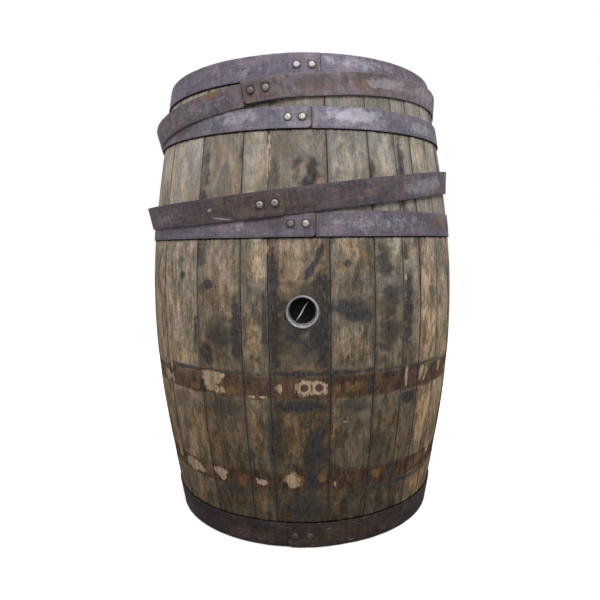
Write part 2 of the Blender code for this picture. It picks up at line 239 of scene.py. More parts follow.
class Nodes:
    """Short ways to build one material's node tree."""

    def __init__(self, name):
        self.material = bpy.data.materials.new(name)
        self.material.use_nodes = True
        self.tree = self.material.node_tree
        self.shader = self.tree.nodes["Principled BSDF"]

    def feed(self, socket, value):
        if isinstance(value, bpy.types.NodeSocket):
            self.tree.links.new(value, socket)
        elif isinstance(value, tuple) and len(value) == 3 and socket.type == "RGBA":
            socket.default_value = (*value, 1)
        else:
            socket.default_value = value

    def put(self, kind, inputs, output=0, **settings):
        node = self.tree.nodes.new(f"ShaderNode{kind}")
        for key, value in settings.items():
            setattr(node, key, value)
        for socket, value in inputs.items():
            self.feed(node.inputs[socket], value)
        return node.outputs[output]

    def attribute(self, name, output="Fac"):
        return self.put("Attribute", {}, output, attribute_name=name)

    def product(self, first, second):
        """Two colours or vectors multiplied, part by part."""
        return self.put("VectorMath", {0: first, 1: second}, operation="MULTIPLY")

    def length(self, name):
        """Length of a stored vector."""
        return self.put("VectorMath", {0: self.attribute(name, "Vector")}, 1, operation="LENGTH")

    def noise(self, place, scales, detail=3.0, roughness=0.55, distortion=0.0):
        """Noise with this many features to the metre along each of three ways."""
        inputs = {
            "Vector": self.product(place, scales), "Scale": 1.0, "Detail": detail,
            "Roughness": roughness, "Distortion": distortion,
        }
        return self.put("TexNoise", inputs)

    def spread(self, value, low, high, to_low=0.0, to_high=1.0):
        inputs = {"Value": value, "From Min": low, "From Max": high, "To Min": to_low, "To Max": to_high}
        return self.put("MapRange", inputs, interpolation_type="SMOOTHSTEP")

    def math(self, operation, first, second):
        return self.put("Math", {0: first, 1: second}, operation=operation)

    def plus(self, first, second):
        return self.math("ADD", first, second)

    def minus(self, first, second):
        return self.math("SUBTRACT", first, second)

    def times(self, first, second):
        return self.math("MULTIPLY", first, second)

    def total(self, *parts, less=0.0):
        """Sum of (value, weight) pairs, less a number."""
        result = None
        for value, weight in parts:
            part = self.times(value, weight)
            result = part if result is None else self.plus(result, part)
        return self.minus(result, less) if less else result

    def vary(self, shade, low, high, *parts):
        """A shade times each (noise, least, most): least where it is low, most where high."""
        for noise, least, most in parts:
            shade = self.times(shade, self.spread(noise, low, high, least, most))
        return shade

    def scale(self, colour, by):
        return self.put("VectorMath", {"Vector": colour, "Scale": by}, operation="SCALE")

    def mix(self, share, first, second):
        return self.put("Mix", {0: share, 6: first, 7: second}, 2, data_type="RGBA")

    def cover(self, under, share, most, over):
        """One colour over another, by a share from 0 to 1 of the most that it hides."""
        return self.mix(self.times(share, most), under, over)

    def mask(self, name, breakup, low, high):
        """A stored mask whose edge is broken up by a noise about 0."""
        return self.spread(self.plus(self.attribute(name), breakup), low, high)

    def finish(self, colour, roughness, relief, specular, metallic=0.0):
        """relief is a list of (height from 0 to 1, depth in metres), from coarse to fine."""
        self.feed(self.shader.inputs["Base Color"], colour)
        self.feed(self.shader.inputs["Roughness"], roughness)
        self.feed(self.shader.inputs["Metallic"], metallic)
        self.shader.inputs["Specular IOR Level"].default_value = specular
        normal = None
        for height, depth in relief:
            inputs = {"Height": height, "Distance": depth, "Strength": 1.0}
            if normal is not None:
                inputs["Normal"] = normal
            normal = self.put("Bump", inputs)
        if normal is not None:
            self.feed(self.shader.inputs["Normal"], normal)
        return self.material


# ---------------------------------------------------------------- wood


WOOD_STAINS = ("dark", "pale", "rust", "ochre", "cream")

# Stains on the front, each kind roughly from the top of the cask down: (from and to degrees, from
# and to height, strength) and, for one that leans, by how many degrees its top is past its foot.
STAINS = {
    "dark": (
        (-36, -31, 0.62, 0.76, 0.45), (-10.9, -9.9, 0.715, 0.757, 0.9), (-9.6, -6.5, 0.64, 0.72, 0.42),
        (1.6, 5.6, 0.662, 0.700, 0.66), (-2.9, -0.6, 0.690, 0.704, 0.45), (0.4, 3.6, 0.655, 0.674, 0.60),
        (22.4, 25.0, 0.672, 0.705, 0.55), (33.8, 37.6, 0.60, 0.76, 0.55),
        (-60.5, -54.2, 0.62, 0.70, 0.35), (-43.7, -41.3, 0.500, 0.516, 0.75),
        (-37.2, -35.3, 0.375, 0.450, 0.62, 1.5), (-32.6, -28.4, 0.483, 0.507, 0.72),
        (-31, -22, 0.372, 0.434, 0.50), (-35, -29.6, 0.345, 0.396, 0.62),
        (-22.2, -19.2, 0.345, 0.485, 0.62), (-35, -31, 0.52, 0.575, 0.40),
        (-12.6, -10.2, 0.36, 0.485, 0.55), (-10.1, -6.7, 0.345, 0.560, 0.86),
        (-9.6, -8.1, 0.470, 0.547, 0.85), (1.0, 3.6, 0.498, 0.532, 0.85, 3.2),
        (4.6, 6.8, 0.530, 0.572, 0.75, 2.4), (-7.2, -3.9, 0.425, 0.475, 0.62),
        (3.6, 8.6, 0.468, 0.520, 0.66), (4.6, 8.4, 0.345, 0.505, 0.85), (-7.4, 1.5, 0.396, 0.436, 0.62),
        (0.5, 7.4, 0.380, 0.428, 0.66), (-6, 7, 0.425, 0.505, 0.45), (-9, 8, 0.35, 0.41, 0.35),
        (9, 16.5, 0.440, 0.468, 0.34), (13, 23.0, 0.424, 0.446, 0.40), (10.5, 22.4, 0.425, 0.474, 0.46),
        (12.5, 15.5, 0.520, 0.536, 0.55), (24, 33, 0.425, 0.500, 0.46, 6.0),
        (23, 34, 0.370, 0.440, 0.46, 6.0), (23, 29.5, 0.490, 0.575, 0.50),
        (33.9, 38.2, 0.375, 0.525, 0.62), (33.9, 36, 0.53, 0.575, 0.5),
        (-14, 22.5, 0.333, 0.345, 0.62, 0.6), (46, 51, 0.44, 0.49, 0.42), (22, 62, 0.3325, 0.3425, 0.50),
        (-62, -14, 0.3325, 0.3425, 0.50), (20.6, 22.6, 0.293, 0.327, 0.85),
        (-10, 8.2, 0.266, 0.2930, 0.70), (-36.5, -33.2, 0.29, 0.33, 0.62),
        (-29.5, -27.5, 0.314, 0.320, 0.8), (-12.0, -9.6, 0.155, 0.290, 0.52),
        (1.6, 5.8, 0.160, 0.255, 0.88, 5.0), (-10, -6.6, 0.16, 0.28, 0.46),
        (34.0, 41.4, 0.268, 0.291, 0.72), (11, 21, 0.262, 0.288, 0.42), (3.0, 8.2, 0.16, 0.21, 0.56),
        (-34, -20, 0.250, 0.290, 0.40), (-54, -43, 0.250, 0.290, 0.30), (0.0, 5.2, 0.118, 0.152, 0.62),
        (12.8, 15.6, 0.081, 0.099, 0.85), (20.8, 22.0, 0.086, 0.094, 0.75), (-10, 8, 0.052, 0.112, 0.42),
        (-34, -19, 0.10, 0.118, 0.5), (23, 60, 0.104, 0.116, 0.52),
    ),
    "pale": (
        (-18.5, -11.5, 0.62, 0.757, 0.55), (-4.6, 0.0, 0.664, 0.690, 0.4),
        (10.0, 21.5, 0.64, 0.755, 0.36), (25.5, 33, 0.62, 0.75, 0.45), (41.9, 53, 0.60, 0.75, 0.30),
        (-54.2, -51.4, 0.54, 0.80, 0.95), (-46.0, -44.6, 0.30, 0.76, 0.45),
        (-16, -10.6, 0.495, 0.572, 0.62), (-7.6, 2.0, 0.522, 0.576, 0.62),
        (-6.6, -0.4, 0.470, 0.535, 0.78, -1.0), (1.6, 4.9, 0.496, 0.520, 0.58, 1.0),
        (4.6, 8.3, 0.538, 0.576, 0.55), (10.5, 21.8, 0.352, 0.420, 0.46), (26, 33, 0.540, 0.574, 0.60),
        (42.2, 52.5, 0.345, 0.575, 0.50), (20.9, 22.0, 0.3225, 0.3275, 0.85),
        (-6.6, 3.1, 0.222, 0.279, 0.80), (-5.0, 0.0, 0.168, 0.226, 0.46, -1.0),
        (42.3, 52.4, 0.165, 0.285, 0.66), (2.4, 4.6, 0.122, 0.142, 0.40),
    ),
    "ochre": (
        (-29, -19.6, 0.650, 0.740, 0.34), (43, 52, 0.700, 0.755, 0.30),
        (-18.5, -13.2, 0.345, 0.46, 0.45), (-6.5, 5.0, 0.342, 0.376, 0.22),
        (9.4, 22.0, 0.500, 0.575, 0.50), (-25.6, -21.6, 0.297, 0.314, 0.80),
        (-41, -36.6, 0.296, 0.310, 0.85), (8.8, 20.2, 0.300, 0.326, 0.46),
        (-42.8, -38.0, 0.172, 0.248, 0.62), (-42.9, -41.7, 0.206, 0.220, 0.95),
        (8.5, 10.3, 0.204, 0.292, 0.78), (26.2, 29.4, 0.215, 0.262, 0.60),
        (30.2, 34.2, 0.172, 0.242, 0.62), (-34, -27, 0.170, 0.235, 0.42), (-18, -13, 0.17, 0.28, 0.40),
        (-39.6, -37.3, 0.121, 0.143, 0.90), (-24.2, -20.4, 0.120, 0.146, 0.66),
        (-7.9, -5.4, 0.130, 0.150, 0.95), (-2.4, -0.2, 0.128, 0.150, 0.95),
        (4.3, 7.5, 0.134, 0.151, 0.80), (24, 28.4, 0.129, 0.146, 0.60), (46.5, 53, 0.129, 0.151, 0.80),
        (30, 41, 0.060, 0.100, 0.50), (44, 58, 0.056, 0.105, 0.55), (-53, -38, 0.060, 0.104, 0.42),
        (9.2, 13, 0.06, 0.112, 0.5), (-18.5, -12, 0.06, 0.112, 0.3),
    ),
    "cream": (
        (-10.9, -9.6, 0.655, 0.757, 0.48), (-49.3, -48.5, 0.652, 0.659, 0.8),
        (-53.8, -51.9, 0.27, 0.60, 0.95), (-13.2, -9.7, 0.542, 0.567, 0.46),
        (34.2, 35.2, 0.496, 0.508, 0.62), (-3.4, 7.4, 0.2990, 0.3270, 0.66),
        (-7.8, -6.6, 0.306, 0.320, 0.62), (-35.2, -26.0, 0.316, 0.338, 0.74),
        (-34.2, -29.6, 0.300, 0.328, 0.70), (-30, -25, 0.297, 0.310, 0.50),
        (-60, -54.2, 0.294, 0.320, 0.66), (-17.4, -15.4, 0.293, 0.299, 0.66),
        (-14.0, -11.4, 0.293, 0.299, 0.70), (-8.9, -6.6, 0.302, 0.319, 0.42),
        (35.2, 36.8, 0.303, 0.338, 0.60), (42, 44.6, 0.305, 0.336, 0.62, 2.0),
        (45.4, 47.2, 0.300, 0.334, 0.56, 1.5), (54.5, 57.5, 0.306, 0.330, 0.62),
        (8.7, 10.0, 0.216, 0.289, 0.42), (12.4, 13.9, 0.2455, 0.2505, 0.55),
        (-52.8, -39.6, 0.1195, 0.1475, 0.64), (-35.2, -28.4, 0.130, 0.152, 0.50),
        (-32.5, -29.4, 0.120, 0.134, 0.55), (-17.4, -13.2, 0.1255, 0.1385, 0.82),
        (-6.6, -1.4, 0.1235, 0.1520, 0.80), (10.2, 11.1, 0.123, 0.134, 0.66),
        (55, 58.5, 0.135, 0.160, 0.66), (8.9, 22, 0.1555, 0.1585, 0.44, 0.4),
        (-58.5, -55, 0.135, 0.155, 0.66),
    ),
}
STAIN_GAIN = 1.30
STAIN_SQUARENESS = 2.3  # 2 is an ellipse
RING_STAIN = (1.3, 0.684, 3.5, 0.0205, 0.50)  # degrees, height, half width, half height, strength
RING_WIDTH = 0.42  # as a share of its radius
RIVET_MARKS = ((0.3, 0.314), (4.8, 0.314))  # (degrees, height), where the loose hoop's rivets sat
RIVET_PRINT = (0.0064, 0.0080)  # reach from a mark's middle over which its dark print fades out
CHIPPED_RING = (0.0112, 0.0126)  # the same for the ring of chipped wood round the print

# How light each stave is, from the bung stave towards +X and all the way round.
STAVE_SHADES = (
    0.79, 0.90, 0.95, 1.02, 1.12, 1.28, 0.98, 1.08, 0.92, 1.02, 1.12, 0.90, 1.00, 1.10,
    0.94, 1.04, 0.88, 1.06, 0.97, 1.13, 0.91, 1.00, 1.07, 1.10, 1.40, 1.42, 0.98, 1.07,
)
# Colour of clean stave wood by height: grey-tan at the top, warmer and darker downwards.
WOOD_HEIGHTS = (0.0, 0.10, 0.25, 0.38, 0.55, 0.70, 0.889)
WOOD_COLOURS = (
    (0.080, 0.058, 0.039), (0.096, 0.069, 0.045), (0.160, 0.116, 0.076), (0.205, 0.155, 0.108),
    (0.245, 0.196, 0.152), (0.300, 0.258, 0.224), (0.300, 0.258, 0.224),
)

# Heights, and how much lighter the front's +X side is at each: partly paler wood, partly painted sheen
# where the staves turn away.
LIGHT_SIDE = (
    (0.06, 0.10, 0.19, 0.25, 0.375, 0.46, 0.54, 0.66),
    (1.1, 1.1, 0.95, 0.55, 0.45, 0.18, 0.02, 0.0),
)
LIGHT_SIDE_STARTS = (40, 43)  # degrees over which it sets in
OTHER_SIDE_STARTS = (34, 37)
OTHER_SIDE_SHARE = 0.35
LIGHT_SIDE_ENDS = (80, 60)  # degrees either way: plain again past the first, full within the second
SIDES_AND_BACK = (64, 296)  # degrees that the stains of the unseen sides are spread over
BACK_STAINS = 150
BACK_SEED = 21
BAND_FLAKES = 16  # flakes of cream and ochre in each loose hoop's old band
HOOP_SHADOW_REACH = 0.0040  # how far the painted shadow line along a tight hoop's edge runs out onto the wood


def round_stains(seed):
    """Stains for the sides and back of the cask, of the same kinds as on its front."""
    rng = np.random.default_rng(seed)
    made = []
    for _ in range(BACK_STAINS):
        kind = rng.choice(["dark", "dark", "dark", "pale", "pale", "ochre"])
        middle = rng.uniform(*SIDES_AND_BACK)
        height = rng.uniform(0.04, 0.86)
        half = rng.uniform(0.8, 4.5)
        tall = rng.uniform(0.010, 0.060)
        lean = rng.uniform(-2, 2)
        made.append((kind, middle - half, middle + half, height - tall, height + tall,
                     rng.uniform(0.45, 0.8), lean))
    for low, high in (BILGE_BAND, QUARTER_BAND):
        for _ in range(BAND_FLAKES):
            middle = rng.uniform(*SIDES_AND_BACK)
            half = rng.uniform(0.6, 4.5)
            centre = rng.uniform(low + 0.008, high - 0.008)
            tall = rng.uniform(0.005, 0.016)
            kind = rng.choice(["cream", "cream", "ochre"])
            made.append((kind, middle - half, middle + half, centre - tall, centre + tall,
                         rng.uniform(0.5, 0.8)))
    return made


def patch_reach(sideways, upward, squareness):
    """How far out of a rounded patch's middle a place is: 1 at its edge."""
    return (np.abs(sideways) ** squareness + np.abs(upward) ** squareness) ** (1 / squareness)


def lay(masks, kind, mask):
    """Lays one more patch over a mask, which never passes 1."""
    masks[kind] = 1 - (1 - masks[kind]) * (1 - mask)


def in_band(height, low, high):
    """1 within a band of heights and 0 outside it, with soft edges."""
    return smooth(height, low - 0.001, low + 0.002) * smooth(height, high + 0.001, high - 0.002)


def stain_masks(degrees, height, stains):
    """Each kind of stain's strength at every vertex of the wood."""
    spot = np.stack([np.radians(degrees) * BILGE_RADIUS, height], -1)
    ragged = 0.17 * waves(spot, 0.045, 5) + 0.15 * waves(spot, 0.017, 6)
    masks = {kind: np.zeros(len(height)) for kind in WOOD_STAINS}
    for kind, left, right, low, high, strength, *lean in stains:
        middle = (left + right) / 2
        level = (low + high) / 2
        upward = (height - level) / ((high - low) / 2)
        away = swing(degrees, middle)
        sideways = (away - sum(lean) * upward / 2) / ((right - left) / 2)
        distance = patch_reach(sideways, upward, STAIN_SQUARENESS) + ragged
        lay(masks, kind, min(STAIN_GAIN * strength, 1) * smooth(distance, 1.45, 0.40))
    middle, level, half, tall, strength = RING_STAIN
    distance = np.hypot(swing(degrees, middle) / half, (height - level) / tall) + 1.5 * ragged
    lay(masks, "dark", strength * np.exp(-(((distance - 1) / RING_WIDTH) ** 2)))
    return masks


def band_rust(degrees, height):
    """Rust left by the two loose hoops' old bands."""
    spot = np.stack([np.radians(degrees) * BILGE_RADIUS, height], -1)
    edge = 0.0016 * waves(spot, 0.05, 11) + 0.0010 * waves(spot, 0.012, 12)
    patchy = 0.66 + 0.12 * waves(spot, 0.09, 13) + 0.10 * waves(spot * (1, 0.4), 0.025, 14)
    right = smooth(swing(degrees), 5, 12)
    total = np.zeros(len(height))
    for low, high in (BILGE_BAND, QUARTER_BAND):
        total += in_band(height + edge, low, high) * (patchy + 0.22 * right)
    return total


def from_hoops(spots):
    """Distance of every point beyond the nearest tight hoop's inward edge, for the painted shadow along it;
    1 away from them.
    """
    nearest = np.ones(len(spots))
    points = np.column_stack([spots, np.ones(len(spots))])
    for hoop in HOOPS:
        if hoop.body != "cask":
            continue
        level = (points @ np.array(hoop.matrix.inverted()).T)[:, 2]
        beyond = (level if hoop.name == "bottom_head_hoop" else -level) - hoop.width / 2
        nearest = np.where((beyond > -0.012) & (beyond < nearest), beyond, nearest)
    return nearest


def add_stave_looks(mesh, number, left, right, shade, stains):
    """Stores the wood's grain coordinates, tone, stains and dirt on a stave, painted shade on its sides and
    inner face, the distance for the painted shadow along tight hoops, and a tone that is partly painted
    sheen towards the front's sides.
    """
    spots = places(mesh)
    degrees = np.degrees(np.arctan2(spots[:, 0], -spots[:, 1]))
    radius = np.hypot(spots[:, 0], spots[:, 1])
    height = spots[:, 2]
    middle = (left + right) / 2
    across = np.radians(swing(degrees, middle)) * BILGE_RADIUS
    depth = radius_at(height) - radius
    shift = np.array([0.31, 0.17, 0.07]) * number
    store(mesh, "grain", np.stack([across, height, depth], -1) + shift)

    half = math.radians(right - left) / 2 * BILGE_RADIUS
    from_joint = half - np.abs(across)
    masks = stain_masks(degrees, height, stains)
    dirt = waves(np.stack([across * 2, height], -1), 0.07, 40 + number)
    joint = smooth(from_joint, 0.0024, 0.0005) * (0.86 + 0.14 * dirt)
    smear = smooth(from_joint, 0.016, 0.001) * np.clip(0.08 + 0.46 * dirt, 0, 1)
    masks["dark"] = np.maximum(np.maximum(masks["dark"], joint), smear)
    # Painted shade on the stave's sides and inner face, from a few millimetres under the outer face, kept
    # off the top end.
    deep_shade = smooth(depth, 0.002, 0.006) * smooth(height, HEIGHT, HEIGHT - 0.004)
    masks["dark"] = np.maximum(masks["dark"], 0.55 * deep_shade)
    masks["rust"] = band_rust(degrees, height)
    for kind, values in masks.items():
        store(mesh, kind, values)

    nearest = np.full((len(height), 2), np.inf)
    for mark, level in RIVET_MARKS:
        other = np.stack([np.radians(degrees - mark) * radius, height - level], -1)
        closer = np.hypot(*other.T) < np.hypot(*nearest.T)
        nearest = np.where(closer[:, None], other, nearest)
    store(mesh, "mark", np.column_stack([nearest, depth]))

    # Distance from the tight hoops' edges, for the painted shadow line along them.
    store(mesh, "under", from_hoops(spots))
    store(mesh, "calm", smooth(height, 0.56, 0.64))

    tone = np.stack([np.interp(height, WOOD_HEIGHTS, channel) for channel in zip(*WOOD_COLOURS)], -1)
    drift = 1 + 0.10 * waves(np.stack([across * 3, height], -1), 0.25, 70 + number)
    # Lighter towards both sides of the front: partly paler wood, partly painted sheen.
    lighter = np.interp(height, *LIGHT_SIDE)
    lighter *= smooth(np.abs(degrees), *LIGHT_SIDE_ENDS)
    drift *= 1 + lighter * smooth(degrees, *LIGHT_SIDE_STARTS)
    drift *= 1 + OTHER_SIDE_SHARE * lighter * smooth(-degrees, *OTHER_SIDE_STARTS)
    rng = np.random.default_rng(900 + number)
    warmth = 1 + rng.uniform(-0.05, 0.05)
    tint = np.array([warmth, 1.0, 1 / warmth])
    greyer = smooth(degrees, *LIGHT_SIDE_STARTS) * smooth(height, 0.38, 0.46)
    tone *= 1 + greyer[:, None] * (-0.02, 0.03, 0.09)
    store(mesh, "tone", tone * tint * (shade * drift)[:, None])


def wood_material(name):
    """Weathered oak: grain, saw marks, pores and dirt, and the stains stored on the piece, with the painted
    shade and painted shadows stored with them.
    """
    nodes = Nodes(name)
    grain = nodes.attribute("grain", "Vector")
    fine = nodes.noise(grain, (1000, 60, 1000), 4, 0.62)
    streak = nodes.noise(grain, (190, 6, 190), 3, 0.6, 0.4)
    saw = nodes.noise(grain, (60, 390, 60), 3, 0.6)
    mottle = nodes.noise(grain, (210, 120, 210), 5, 0.72, 0.3)
    cloud = nodes.noise(grain, (26, 13, 26), 4, 0.62, 0.6)
    patch = nodes.noise(grain, (85, 34, 85), 4, 0.64, 0.5)
    speck = nodes.noise(grain, (460, 300, 460), 2, 0.6)
    pores = nodes.spread(nodes.noise(grain, (900, 55, 900), 2, 0.5), 0.60, 0.70)

    shade = nodes.spread(fine, 0.25, 0.75, 0.80, 1.20)
    shade = nodes.vary(shade, 0.30, 0.70, (streak, 0.86, 1.14), (saw, 0.90, 1.09), (mottle, 0.79, 1.22))
    shade = nodes.vary(shade, 0.32, 0.68, (patch, 0.66, 1.36))
    shade = nodes.vary(shade, 0.34, 0.66, (cloud, 0.68, 1.34))
    blotchy = nodes.spread(nodes.attribute("calm"), 0.0, 1.0, 1.0, 0.52)
    shade = nodes.plus(nodes.times(nodes.minus(shade, 1.0), blotchy), 1.0)
    hue = nodes.noise(grain, (34, 20, 50), 4, 0.66, 0.6)
    warmth = nodes.mix(nodes.spread(hue, 0.36, 0.64), (0.94, 0.995, 1.03), (1.04, 1.005, 0.91))
    wood = nodes.scale(nodes.product(nodes.attribute("tone", "Color"), warmth), shade)

    breakup = nodes.total((patch, 1.0), (mottle, 0.6), (cloud, 0.5), (fine, 0.4), less=1.25)
    sharp = nodes.total((mottle, 1.0), (patch, 0.8), (fine, 0.8), (streak, 0.3), less=1.45)
    pale = nodes.mask("pale", breakup, 0.12, 0.75)
    wood = nodes.cover(wood, pale, 0.95, nodes.product(wood, (1.46, 1.40, 1.31)))
    ochre = nodes.mask("ochre", breakup, 0.20, 0.80)
    wood = nodes.cover(wood, ochre, 0.9, nodes.product(wood, (1.40, 1.24, 0.96)))

    rust_mask = nodes.mask("rust", breakup, 0.22, 0.78)
    rust_shade = nodes.spread(nodes.total((mottle, 0.4), (patch, 0.6)), 0.38, 0.62)
    rust = nodes.mix(rust_shade, (0.028, 0.019, 0.016), (0.146, 0.074, 0.043))
    wood = nodes.cover(wood, rust_mask, 0.84, rust)
    orange = nodes.times(rust_mask, nodes.mask("ochre", sharp, 0.35, 0.65))
    wood = nodes.cover(wood, orange, 0.8, (0.235, 0.125, 0.048))

    # Dark stains, dirt and dark joints, with the painted shade of the sides and inner face in the same
    # mask.
    grime_and_shade = nodes.mask("dark", nodes.times(breakup, 1.35), 0.16, 0.78)
    soot_shade = nodes.spread(nodes.total((fine, 0.5), (mottle, 0.5)), 0.35, 0.65)
    blue_soot = nodes.mix(soot_shade, (0.016, 0.018, 0.022), (0.070, 0.073, 0.078))
    brown_soot = nodes.mix(soot_shade, (0.019, 0.015, 0.014), (0.080, 0.064, 0.056))
    sooty_and_shaded = nodes.mix(nodes.spread(hue, 0.46, 0.66), blue_soot, brown_soot)
    seen = nodes.spread(nodes.total((fine, 0.6), (mottle, 0.4)), 0.36, 0.64, 1.0, 0.76)
    wood = nodes.cover(wood, grime_and_shade, seen, sooty_and_shaded)

    from_mark = nodes.length("mark")
    round_mark = nodes.minus(from_mark, nodes.times(sharp, 0.0060))
    ring = nodes.spread(round_mark, *CHIPPED_RING, 1.0, 0.0)
    chipped = nodes.math("MAXIMUM", nodes.mask("cream", sharp, 0.34, 0.60), ring)
    fresh = nodes.mix(nodes.spread(streak, 0.35, 0.65), (0.38, 0.270, 0.170), (0.60, 0.455, 0.300))
    fresh = nodes.scale(fresh, nodes.spread(mottle, 0.3, 0.7, 0.70, 1.18))
    wood = nodes.cover(wood, chipped, 0.92, fresh)
    print_edge = nodes.plus(from_mark, nodes.times(sharp, 0.0022))
    printed = nodes.spread(print_edge, *RIVET_PRINT, 0.9, 0.0)
    wood = nodes.mix(printed, wood, nodes.mix(mottle, (0.050, 0.022, 0.018), (0.120, 0.058, 0.046)))

    dots = nodes.times(nodes.spread(speck, 0.60, 0.70), 0.42)
    wood = nodes.mix(dots, wood, (0.030, 0.026, 0.024))
    wood = nodes.cover(wood, pores, 0.55, (0.018, 0.015, 0.013))

    # Painted shadow: a near-black line on the wood along each tight hoop's inward edge.
    edge = nodes.plus(nodes.attribute("under"), nodes.times(breakup, 0.0035))
    hoop_shadow = nodes.spread(edge, HOOP_SHADOW_REACH * 0.25, HOOP_SHADOW_REACH, 0.94, 0.0)
    wood = nodes.mix(hoop_shadow, wood, (0.006, 0.005, 0.005))

    roughness = nodes.spread(nodes.total((fine, 0.5), (mottle, 0.5)), 0.3, 0.7, 0.68, 0.92)
    relief = [(mottle, 0.0009), (streak, 0.0011), (saw, 0.0003), (fine, 0.0006)]
    return nodes.finish(wood, roughness, relief, 0.12)


# ---------------------------------------------------------------- staves


OUTER_COLUMNS = 25  # even columns of a stave's outer face, before the arrises replace the outer ones
INNER_SHARES = np.linspace(0, 1, 7)  # where the points of its inner face are
SIDE_SHARES = (0.3, 0.7)  # where the points of its sides are
EVEN_ROWS = 190
END_ROWS = (0, 0.0004, 0.0012, 0.0030, 0.006, 0.011, CHIME_BEVEL_DEPTH, 0.021, *CROZE)
END_ROUNDING = (0.0011, 0.0005, 0.0001)  # off the outer face in the three rows nearest either end
INNER_ROUNDING = (0.0009, 0.0004, 0.0)  # off the inner face in the same rows
ARRIS = 0.0011  # radius of the worn long edges
BAND_DEPTH = 0.0004  # how deep each loose hoop has pressed its old band


def inner_radius(height):
    """Inner face of a stave: chime bevel and croze at both ends."""
    end = np.minimum(height, HEIGHT - height)
    radius = radius_at(height) - STAVE_THICKNESS
    bevel_top = radius_at(CHIME_BEVEL_DEPTH) - STAVE_THICKNESS
    bevel = np.interp(end, (0, CHIME_BEVEL_DEPTH), (END_RADIUS - CHIME_FLAT, bevel_top))
    radius = np.where(end < CHIME_BEVEL_DEPTH, bevel, radius)
    return radius + np.interp(end, CROZE, (0, CROZE_DEPTH, CROZE_DEPTH, 0))


def stave_heights(number):
    """Rows of a stave: close at the ends, the croze corners included, and even between."""
    rows = [*END_ROWS, *np.linspace(CROZE[-1], HEIGHT - CROZE[-1], EVEN_ROWS)[1:-1]]
    rows += [HEIGHT - row for row in reversed(END_ROWS)]
    rng = np.random.default_rng(300 + number)
    bottom, top = rng.uniform(0, 0.0009, 2)
    rows = np.array(rows)
    return bottom + rows * (HEIGHT - bottom - top) / HEIGHT


def stave_rings(number, left, right):
    """Rings of points up a stave: its outer face, a side, its inner face and the other side."""
    heights = stave_heights(number)
    gap = math.degrees(GAP / 2 / END_RADIUS)
    left += gap
    right -= gap
    rng = np.random.default_rng(500 + number)
    proud = rng.uniform(-0.0005, 0.0002)
    cup = rng.uniform(-0.0005, 0.0003)
    across = np.linspace(0, 1, OUTER_COLUMNS)
    width = math.radians(right - left) * END_RADIUS
    arris = ARRIS / width
    across = np.concatenate([[0, arris * 0.3, arris], across[2:-2], [1 - arris, 1 - arris * 0.3, 1]])
    from_side = np.minimum(across, 1 - across) * width
    rounding = ARRIS - np.sqrt(np.maximum(ARRIS**2 - np.maximum(ARRIS - from_side, 0) ** 2, 0))
    rings = []
    for row, height in enumerate(heights):
        end = min(row, len(heights) - 1 - row)
        spot = np.stack([across * width, np.full(len(across), height)], -1)
        radius = radius_at(height) + proud + cup * (1 - (2 * across - 1) ** 2)
        radius += 0.00022 * waves(spot * (1, 0.12), 0.02, 600 + number)
        wear = 1 + 0.7 * waves([[height, 0.0]], 0.05, 620 + number)[0]
        radius = np.minimum(radius - rounding * max(wear, 0.25), radius_at(height) - 0.0002)
        for low, high in (BILGE_BAND, QUARTER_BAND):
            radius -= BAND_DEPTH * in_band(height, low, high)
        inner = float(inner_radius(height))
        if end < len(END_ROUNDING):
            radius -= END_ROUNDING[end]
            inner += INNER_ROUNDING[end]
        ring = [facing(left + share * (right - left), r, height) for share, r in zip(across, radius)]
        ring += [facing(right, radius[-1] * (1 - s) + inner * s, height) for s in SIDE_SHARES]
        ring += [facing(right + s * (left - right), inner, height) for s in INNER_SHARES]
        ring += [facing(left, inner * (1 - s) + radius[0] * s, height) for s in SIDE_SHARES]
        rings.append(ring)
    return rings


BUSH_HOLE = (0.0271, 0.0231)  # its radius at the seat and at its inner end
BUSH_SEAT = 0.0031  # how deep the flange's seat is
BUSH_HOLE_DEPTH = 0.0395
CUTTER_PROUD = 0.010


def cut_bush_hole(mesh):
    """Cuts the bush's stepped hole through the bung stave."""
    low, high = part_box("bung_bush")
    middle = (low.z + high.z) / 2
    flange = (high.z - low.z) / 2 + GAP
    profile = [
        (0.0, CUTTER_PROUD), (flange, CUTTER_PROUD), (flange, -BUSH_SEAT), (BUSH_HOLE[0], -BUSH_SEAT),
        (BUSH_HOLE[1], -BUSH_HOLE_DEPTH), (0.0, -BUSH_HOLE_DEPTH),
    ]
    points, faces = turned(profile, 96)
    cutter_mesh = make_mesh("bush_hole", points, faces)
    cutter_mesh.transform(Matrix.Translation((0, low.y, middle)) @ Matrix.Rotation(math.pi / 2, 4, "X"))
    cutter = add_object("bush_hole", cutter_mesh)
    stave = add_object("bung_stave_uncut", mesh)
    modifier = stave.modifiers.new("hole", "BOOLEAN")
    modifier.operation = "DIFFERENCE"
    modifier.object = cutter
    modifier.solver = "EXACT"
    bpy.context.view_layer.update()
    cut = bpy.data.meshes.new_from_object(stave.evaluated_get(bpy.context.evaluated_depsgraph_get()))
    for obj in (cutter, stave):
        bpy.data.objects.remove(obj)
    cut.set_sharp_from_angle(angle=math.radians(40))
    return cut


def stave_sides(node):
    """Left and right edge of a CAD stave, in degrees."""
    spots = places(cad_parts[node].data)
    turn = np.degrees(np.arctan2(spots[:, 0], -spots[:, 1]))
    middle = math.degrees(math.atan2(spots[:, 0].mean(), -spots[:, 1].mean()))
    away = swing(turn, middle)
    gap = math.degrees(GAP / 2 / END_RADIUS)
    return middle + away.min() - gap, middle + away.max() + gap


